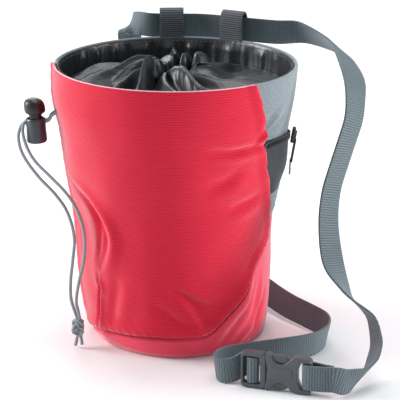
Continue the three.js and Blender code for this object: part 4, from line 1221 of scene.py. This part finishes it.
# The belt's way, right and back as shares of the mouth's radius and up as a share of the bag's height above a
# strap that stands on its edge, and then the way its width points.
BELT_ROUTE = [
    (0.45, -1.215, 0.005, (0, 0, 1)), (0.37, -1.2, 0, (-0.1, 0, 1)), (0.325, -1.13, 0, (-0.15, 0, 1)),
    (0.345, -1.03, 0, (0, 0, 1)), (0.43, -0.95, 0, (0, 0, 1)), (0.63, -0.87, 0, (0, 0, 1)),
    (0.87, -0.79, 0, (0, 0, 1)), (1.062, -0.711, 0, (0.1, 0, 1)), (1.17, -0.62, 0, (0.15, 0, 1)),
    (1.255, -0.45, 0, (0.2, 0, 1)), (1.24, -0.24, 0, (0.3, 0.1, 0.95)),
    (1.115, -0.045, 0.002, (0.45, 0.2, 0.87)), (0.96, 0.17, 0.004, (0.5, 0.26, 0.82)),
    (0.8, 0.44, 0.012, (0.52, 0.26, 0.81)), (0.64, 0.73, 0.03, (0.6, 0.2, 0.77)),
    (0.43, 1, 0.1, (0.75, 0.1, 0.65)), (0.16, 1.18, 0.25, (0.9, 0.05, 0.4)),
    (-0.13, 1.25, 0.47, (0.97, 0, 0.22)), (-0.33, 1.27, 0.7, (1, 0, 0.1)),
    (-0.415, 1.255, 0.89, (0.9, 0, 0.4)), (-0.424, 1.18, 0.975, (0.65, 0, 0.75)),
    (-0.34, 1.095, 0.992, (0.3, 0, 0.95)), (-0.24, 1.048, 0.991, (0.08, 0, 1)),
    (-0.08, 1.053, 0.989, (0, 0, 1)), (0.22, 1.035, 0.989, (0, 0, 1)), (0.485, 0.94, 0.988, (0, 0, 1)),
    (0.64, 0.865, 0.988, (0, 0, 1)), (0.863, 0.815, 0.984, (-0.1, 0, 1)),
    (1.094, 0.79, 0.983, (-0.3, -0.3, 0.9)), (1.337, 0.469, 0.963, (-0.4, -0.65, 0.62)),
    (1.386, 0.193, 0.959, (-0.57, -0.75, 0.35)), (1.444, -0.11, 0.912, (-0.8, -0.57, 0.19)),
    (1.449, -0.276, 0.86, (-0.77, -0.61, 0.2)), (1.434, -0.359, 0.791, (-0.75, -0.63, 0.2)),
    (1.383, -0.4, 0.717, (-0.75, -0.63, 0.2)), (1.318, -0.414, 0.624, (-0.75, -0.63, 0.2)),
    (1.259, -0.441, 0.529, (-0.75, -0.63, 0.2)), (1.239, -0.524, 0.423, (-0.79, -0.58, 0.19)),
    (1.271, -0.662, 0.308, (-0.85, -0.5, 0.16)), (1.348, -0.786, 0.239, (-0.5, -0.79, 0.34)),
    (1.404, -0.85, 0.206, (-0.2, -0.9, 0.39)), (1.554, -0.939, 0.15, (0.18, -0.91, 0.36)),
    (1.596, -1.049, 0.085, (0.29, -0.78, 0.54)), (1.574, -1.141, 0.046, (0.45, -0.55, 0.7)),
    (1.529, -1.218, 0.016, (0.42, -0.56, 0.71)), (1.456, -1.329, 0.003, (0.26, -0.57, 0.79)),
    (1.336, -1.451, 0.006, (0, 0, 1)),
]

# The buckle stands on its long edge. Its tables give places along it as shares of its length, and places
# out to its front in thicknesses of the webbing.
BUCKLE_LENGTH = 42
BUCKLE_WIDTH = 22
BUCKLE_THICKNESS = 5.2
BUCKLE_PLACE = (0.807, -1.338, math.radians(-18))
LADDER_ROUTE = [
    (-0.5, -4.25), (-0.46, -3.4), (-0.425, -2.1), (-0.424, -0.5), (-0.412, 0.7), (-0.386, 1.5),
    (-0.35, 1.65), (-0.312, 1.4), (-0.286, 0.6), (-0.283, -0.4), (-0.3, -1.35), (-0.345, -2.2),
]
SEWN_ROUTE = [
    (0.8, 0.5), (0.64, 1.5), (0.5, 2), (0.425, 2), (0.375, 1.4), (0.352, 0), (0.375, -1.4),
    (0.425, -2), (0.5, -1.9), (0.64, -1), (0.76, -0.55),
]


def strap_shape(stations, width, pitch, rib=0.1):
    """Ribbed webbing with scalloped edges along stations, each a point and the way its width points."""
    rows = 6
    points = smooth_path([p for p, w in stations], rows)
    widths = smooth_path([w for p, w in stations], rows)
    total = line_length(points)
    step = pitch / 4
    places = even_places(points, step)
    count = len(places) - 1
    middles = [points[i].lerp(points[i + 1], share) for i, share in places]
    # The width's way is evened out over a few millimetres, so that a twist has no kink in it.
    reach = max(round(3.5 / step), 1)
    sums = [Vector()]
    for i, share in places:
        sums.append(sums[-1] + widths[i].lerp(widths[i + 1], share).normalized())
    placed = []
    for i, point in enumerate(middles):
        near = min(reach, i, count - i)
        even = sums[i + near + 1] - sums[i - near]
        ahead = ahead_at(middles, i, 2).normalized()
        even = (even - ahead * even.dot(ahead)).normalized()
        placed.append((point, even, even.cross(ahead)))

    def place(across, along):
        i = round(along * count)
        point, even, face = placed[i]
        wave = math.sin(i * math.pi / 2)
        lip = abs(across - 0.5) * 2
        wide = (across - 0.5) * (width + 0.14 * wave * lip)
        where = point + even * wide + face * (rib * wave * (1 - 0.4 * lip**4))
        return where, ((across - 0.5) * width, along * total)

    return grid_shape(10, count, place)


def buckle_matrix(shape):
    right, back, turn = BUCKLE_PLACE
    place = Vector((shape.mouth * right, shape.mouth * back, BUCKLE_WIDTH / 2 + 0.3))
    laid_turn = Matrix.Rotation(LAID_TURN, 4, "Z")
    return laid_turn @ Matrix.Translation(place) @ Matrix.Rotation(turn, 4, "Z")


class ChalkBagBelt(bpy.types.Operator):
    """The waist belt, one loop of webbing through the buckle, with its folded end sewn down"""

    bl_idname = "chalk_bag.belt"
    bl_label = "Waist belt"

    def execute(self, context):
        sizes = context.scene.chalk_bag_sizes
        shape = BagShape(sizes)
        width, thick = sizes.web_width / MM, sizes.web_thickness / MM
        matrix = buckle_matrix(shape)
        upright = Vector((0, 0, 1))

        def beside(row):
            return matrix @ Vector((row[0] * BUCKLE_LENGTH, -row[1] * thick, 0)), upright

        stations = [beside(row) for row in reversed(LADDER_ROUTE)]
        for right, back, up, way in BELT_ROUTE:
            point = Vector((right * shape.mouth, back * shape.mouth, width / 2 + 0.3 + up * shape.height))
            stations.append((laid(point), laid(way)))
        stations += [beside(row) for row in SEWN_ROUTE]
        grid = strap_shape(stations, width, sizes.web_pitch / MM)
        belt = finished("waist_belt_webbing", grid, material_named("woven_belt_webbing"))
        # The belt's inner face gets the darker copy of the webbing, as painted shade.
        belt.data.materials.append(material_named("woven_webbing_inside"))
        thicken(belt, thick * 0.8, offset=0, rounding=0.35)
        belt.modifiers["Cloth wall"].material_offset = 1
        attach(belt, "bag")
        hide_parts("waist_belt")

        # Two zigzag rows hold the folded end, and show on its front.
        places = []
        for along, out in ((0.69, 1.75), (0.745, 1.35)):
            for i in range(15):
                level = mix(-width / 2 + 1, width / 2 - 1, i / 14)
                lean = 0.5 if i % 2 else -0.5
                place = Vector((along * BUCKLE_LENGTH + lean * 0.7, -out * thick, level))
                places.append((matrix @ place, matrix.to_3x3() @ Vector((lean * 1.6, 0, 1))))
        seam = stitch_shape(places, 1.25, 0.3)
        rows = finished("belt_end_stitches", seam, material_named("spun_grey_thread"))
        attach(rows, "bag")
        return {"FINISHED"}


class ChalkBagLoops(bpy.types.Operator):
    """The two webbing loops at the back of the rim that carry the belt"""

    bl_idname = "chalk_bag.loops"
    bl_label = "Belt loops"

    def execute(self, context):
        shape = BagShape(context.scene.chalk_bag_sizes)
        high, width, tail = shape.height, LOOP_WIDTH, LOOP_TAIL
        # The belt's middle runs through the loops a little above the rim.
        level = high + 5.5
        crown = level + width / 2 + 4.1
        front = shape.mouth - 2.1
        back = shape.mouth + 5.8
        middle = (front + back) / 2
        for name, around in (("left", 180 + LOOP_ANGLE), ("right", 180 - LOOP_ANGLE)):
            seat = shape.radius(around, high - tail, False) + 1.5
            path = [
                (front - 0.9, high - 3.4),
                (front, high + 0.6),
                (front, mix(high, crown, 0.6)),
                (mix(front, middle, 0.3), crown - 1.6),
                (middle, crown),
                (mix(back, middle, 0.3), crown - 1.6),
                (back, mix(high, crown, 0.6)),
                (back, level - width / 2 - 1.6),
                (mix(back, seat, 0.5), high - tail * 0.45),
                (seat, high - tail * 0.75),
                (seat - 0.2, high - tail),
            ]
            turn = Matrix.Rotation(math.radians(around), 3, "Z")
            way = turn @ Vector((-1, 0, 0))
            stations = [(turn @ Vector((0, -out, z)), way) for out, z in path]
            grid = strap_shape(stations, width, LOOP_PITCH, 0.12)
            loop = finished("belt_loop_webbing_" + name, grid, material_named("woven_loop_webbing"))
            thicken(loop, 1.0, offset=0, rounding=0.3)
            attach(loop, "bag")
            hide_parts("belt_loop_" + name)
            places = []
            for row in range(3):
                for i in range(13):
                    z = high - tail + 2 + row * 1.1 + (0.35 if i % 2 else 0)
                    place = Vector((mix(-6.4, 6.4, i / 12), -(seat + 0.72), z))
                    places.append((turn @ place, turn @ Vector((1, 0, 0.5 if i % 2 else -0.5))))
            stitches = stitch_shape(places, 1.3, 0.25)
            tack = finished("belt_loop_tack_" + name, stitches, material_named("spun_grey_thread"))
            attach(tack, "bag")
        return {"FINISHED"}


class ChalkBagBuckle(bpy.types.Operator):
    """The fastened side release buckle: the plug with its ladder lock, and the socket with its four arms"""

    bl_idname = "chalk_bag.buckle"
    bl_label = "Buckle"

    def execute(self, context):
        sizes = context.scene.chalk_bag_sizes
        matrix = buckle_matrix(BagShape(sizes))
        opening = sizes.web_width / MM + 1.2
        for name, slot_name, shape in (
            ("buckle_plug_moulding", "buckle_plug", self.plug(opening)),
            ("buckle_socket_moulding", "buckle_socket", self.socket()),
        ):
            bmesh.ops.transform(shape, matrix=matrix, verts=shape.verts)
            sharp_above(shape, 38)
            half = finished(name, shape, material_named("moulded_grey_acetal"))
            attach(half, "bag")
            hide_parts(slot_name)
        return {"FINISHED"}

    def plug(self, opening):
        at = BUCKLE_LENGTH
        left, right = -0.512 * at, -0.16 * at
        half = BUCKLE_WIDTH / 2
        outer = rounded_outline(left, -half, right - left, BUCKLE_WIDTH, 2.6)
        window = -0.24 * at - left - 1.5
        inner = rounded_outline(left + 1.5, -opening / 2, window, opening, 1)
        plug = plate_shape(outer, BUCKLE_THICKNESS - 0.4, 0.9, 3, inner)
        # The lock's middle bar is rounded, and sits a little behind the frame's front.
        bar = plate_shape(rounded_outline(-0.383 * at, -half + 1.5, 2.7, BUCKLE_WIDTH - 3, 0.6), 2.6, 0.8, 3)
        merge(plug, bar)
        # Each side prong bows out through the socket's waist and ends in a thumb pad.
        for side in (-1, 1):
            back = [(-0.23, 0.3), (-0.14, 0.31), (-0.06, 0.3), (0.02, 0.28), (0.1, 0.27), (0.16, 0.28)]
            front = [(0.165, 0.33), (0.13, 0.42), (0.06, 0.472), (-0.02, 0.478), (-0.09, 0.44)]
            front += [(-0.15, 0.4), (-0.23, 0.38)]
            corners = [Vector((x * at, 0, side * z * BUCKLE_WIDTH)) for x, z in back + front]
            line = smooth_path(corners, 3)
            merge(plug, plate_shape([(p.x, p.z) for p in line], 3.0, 0.55, 3))
        merge(plug, plate_shape(rounded_outline(right - 1, -1.5, at * 0.3, 3, 1), 2.2, 0.4))
        return plug

    def socket(self):
        at = BUCKLE_LENGTH
        half = BUCKLE_WIDTH / 2
        upper = [
            (-0.165, 0.99), (-0.1, 0.99), (-0.055, 0.72), (0.0, 0.56), (0.065, 0.53), (0.13, 0.63),
            (0.19, 0.86), (0.25, 1.0), (0.36, 0.99), (0.445, 0.93), (0.474, 0.76),
        ]
        notch = [(0.44, 0.74), (0.33, 0.74), (0.314, 0.6), (0.282, 0.3)]
        hollow = [(-0.172, 0.86), (-0.15, 0.5), (-0.138, 0.2)]
        waist = [(p.x, p.z) for p in smooth_path([(x * at, 0, z * half) for x, z in upper], 3)]
        half_outline = [(x * at, z * half) for x, z in reversed(hollow)] + waist
        half_outline += [(x * at, z * half) for x, z in notch]
        outline = half_outline + [(x, -z) for x, z in reversed(half_outline)]
        socket = plate_shape(outline, BUCKLE_THICKNESS, 1.0, 4)
        # A low raised field in the middle of the front, as moulded buckles have.
        field = plate_shape(rounded_outline(-0.115 * at, -half * 0.36, at * 0.33, half * 0.72, 1.6), 1.2, 0.5)
        bmesh.ops.translate(field, vec=(0, -BUCKLE_THICKNESS / 2 + 0.25, 0), verts=field.verts)
        merge(socket, field)
        merge(socket, plate_shape(rounded_outline(0.4 * at, -half * 0.86, 3.2, half * 1.72, 0.8), 3.4, 0.9))
        return socket


class ChalkBagCordLock(bpy.types.Operator):
    """The barrel cord lock: its body, its sprung button, and the lips where the cords pass through"""

    bl_idname = "chalk_bag.cord_lock"
    bl_label = "Cord lock"

    def turned(self, profile):
        """A solid turned about Z from the radii and heights of its profile."""
        shape = bmesh.new()
        line = [shape.verts.new((radius, 0, height)) for radius, height in profile]
        edges = [shape.edges.new(pair) for pair in zip(line, line[1:])]
        bmesh.ops.spin(
            shape,
            geom=line + edges,
            axis=(0, 0, 1),
            cent=(0, 0, 0),
            steps=56,
            angle=2 * math.pi,
            use_merge=True,
            use_duplicate=False,
        )
        bmesh.ops.remove_doubles(shape, verts=shape.verts, dist=1e-3)
        bmesh.ops.recalc_face_normals(shape, faces=shape.faces)
        return shape

    def execute(self, context):
        shape = BagShape(context.scene.chalk_bag_sizes)
        place = Vector((shape.mouth * -1.137, shape.mouth * -0.138, shape.height * 0.7235))
        tilt = Matrix.Rotation(math.radians(-2), 4, "Y")
        matrix = Matrix.Rotation(LAID_TURN, 4, "Z") @ Matrix.Translation(place) @ tilt
        body = self.turned(
            [
                (0, 0), (4.6, 0), (5.6, 0.3), (6.1, 1.0), (6.2, 2.0), (6.0, 5.5), (5.85, 9.5),
                (5.9, 13.6), (5.75, 14.5), (5.2, 15), (4.7, 14.8), (4.6, 14.2), (4.6, 11.2), (0, 11.2),
            ]
        )
        line = []
        for i in range(33):
            turn = 2 * math.pi * i / 32
            line.append(Vector((0, 2.35 * math.cos(turn), 12.7 + 1.5 * math.sin(turn))))
        for side in (-1, 1):
            lip = tube_shape([p + Vector((side * 5.35, 0, 0)) for p in line], 0.62, 8, capped=False)
            merge(body, lip)
        bmesh.ops.transform(body, matrix=matrix, verts=body.verts)
        sharp_above(body, 50)
        barrel = finished("cord_lock_barrel", body, material_named("moulded_dark_acetal"))
        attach(barrel, "bag")
        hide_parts("cord_lock_body")

        button = self.turned(
            [
                (0, 17.2), (4.3, 17.2), (4.3, 18.0), (5.7, 18.3), (6.15, 18.9), (6.25, 20.4),
                (6.2, 22.6), (5.85, 24.4), (5.0, 25.8), (3.4, 26.7), (1.6, 27.0), (0, 27.05),
            ]
        )
        # The stem below the head is two cheeks, so that the cords stay clear between them as it is pushed.
        arc = [math.radians(mix(38, 142, i / 16)) for i in range(17)]
        for turn in (0, math.pi):
            cheek = plate_shape([(4.3 * math.cos(t), 4.3 * math.sin(t)) for t in arc], 3, 0)
            stand = Matrix.Rotation(turn, 4, "Z") @ Matrix.Rotation(math.pi / 2, 4, "X")
            bmesh.ops.transform(cheek, matrix=Matrix.Translation((0, 0, 15.9)) @ stand, verts=cheek.verts)
            merge(button, cheek)
        for vertex in button.verts:
            lift = max(vertex.co.z - 19, 0)
            vertex.co.x -= 0.07 * lift
            if vertex.co.z > 22:
                vertex.co.z -= 0.12 * max(vertex.co.x + 1, 0) * (lift / 8)
        bmesh.ops.transform(button, matrix=matrix, verts=button.verts)
        sharp_above(button, 50)
        head = finished("cord_lock_push_button", button, material_named("moulded_black_acetal"))
        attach(head, "button")
        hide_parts("cord_lock_button")
        return {"FINISHED"}


class ChalkBagPanel(bpy.types.Panel):
    """Lists the bag's pieces and their sizes and colours"""

    bl_idname = "CHALK_BAG_PT_pieces"
    bl_label = "Climbing chalk bag"
    bl_space_type = "VIEW_3D"
    bl_region_type = "UI"
    bl_category = "Chalk bag"

    def draw(self, context):
        layout = self.layout
        for operator in OPERATORS:
            layout.operator(operator.bl_idname)
        for group in (context.scene.chalk_bag_sizes, context.scene.chalk_bag_colours):
            column = layout.column()
            for name in group.__annotations__:
                column.prop(group, name)


OPERATORS = [
    ChalkBagStage,
    ChalkBagDrawstring,
    ChalkBagPanels,
    ChalkBagPocket,
    ChalkBagLining,
    ChalkBagLoops,
    ChalkBagBelt,
    ChalkBagBuckle,
    ChalkBagCordLock,
]
CLASSES = [ChalkBagSizes, ChalkBagColours, *OPERATORS, ChalkBagPanel]


def register():
    for item in CLASSES:
        bpy.utils.register_class(item)
    bpy.types.Scene.chalk_bag_sizes = bpy.props.PointerProperty(type=ChalkBagSizes)
    bpy.types.Scene.chalk_bag_colours = bpy.props.PointerProperty(type=ChalkBagColours)


def unregister():
    del bpy.types.Scene.chalk_bag_colours
    del bpy.types.Scene.chalk_bag_sizes
    for item in reversed(CLASSES):
        bpy.utils.unregister_class(item)


def main():
    register()
    bpy.ops.chalk_bag.stage()
    bpy.ops.chalk_bag.drawstring()
    bpy.ops.chalk_bag.panels()
    bpy.ops.chalk_bag.pocket()
    bpy.ops.chalk_bag.lining()
    bpy.ops.chalk_bag.loops()
    bpy.ops.chalk_bag.belt()
    bpy.ops.chalk_bag.buckle()
    bpy.ops.chalk_bag.cord_lock()


if __name__ == "__main__":
    main()
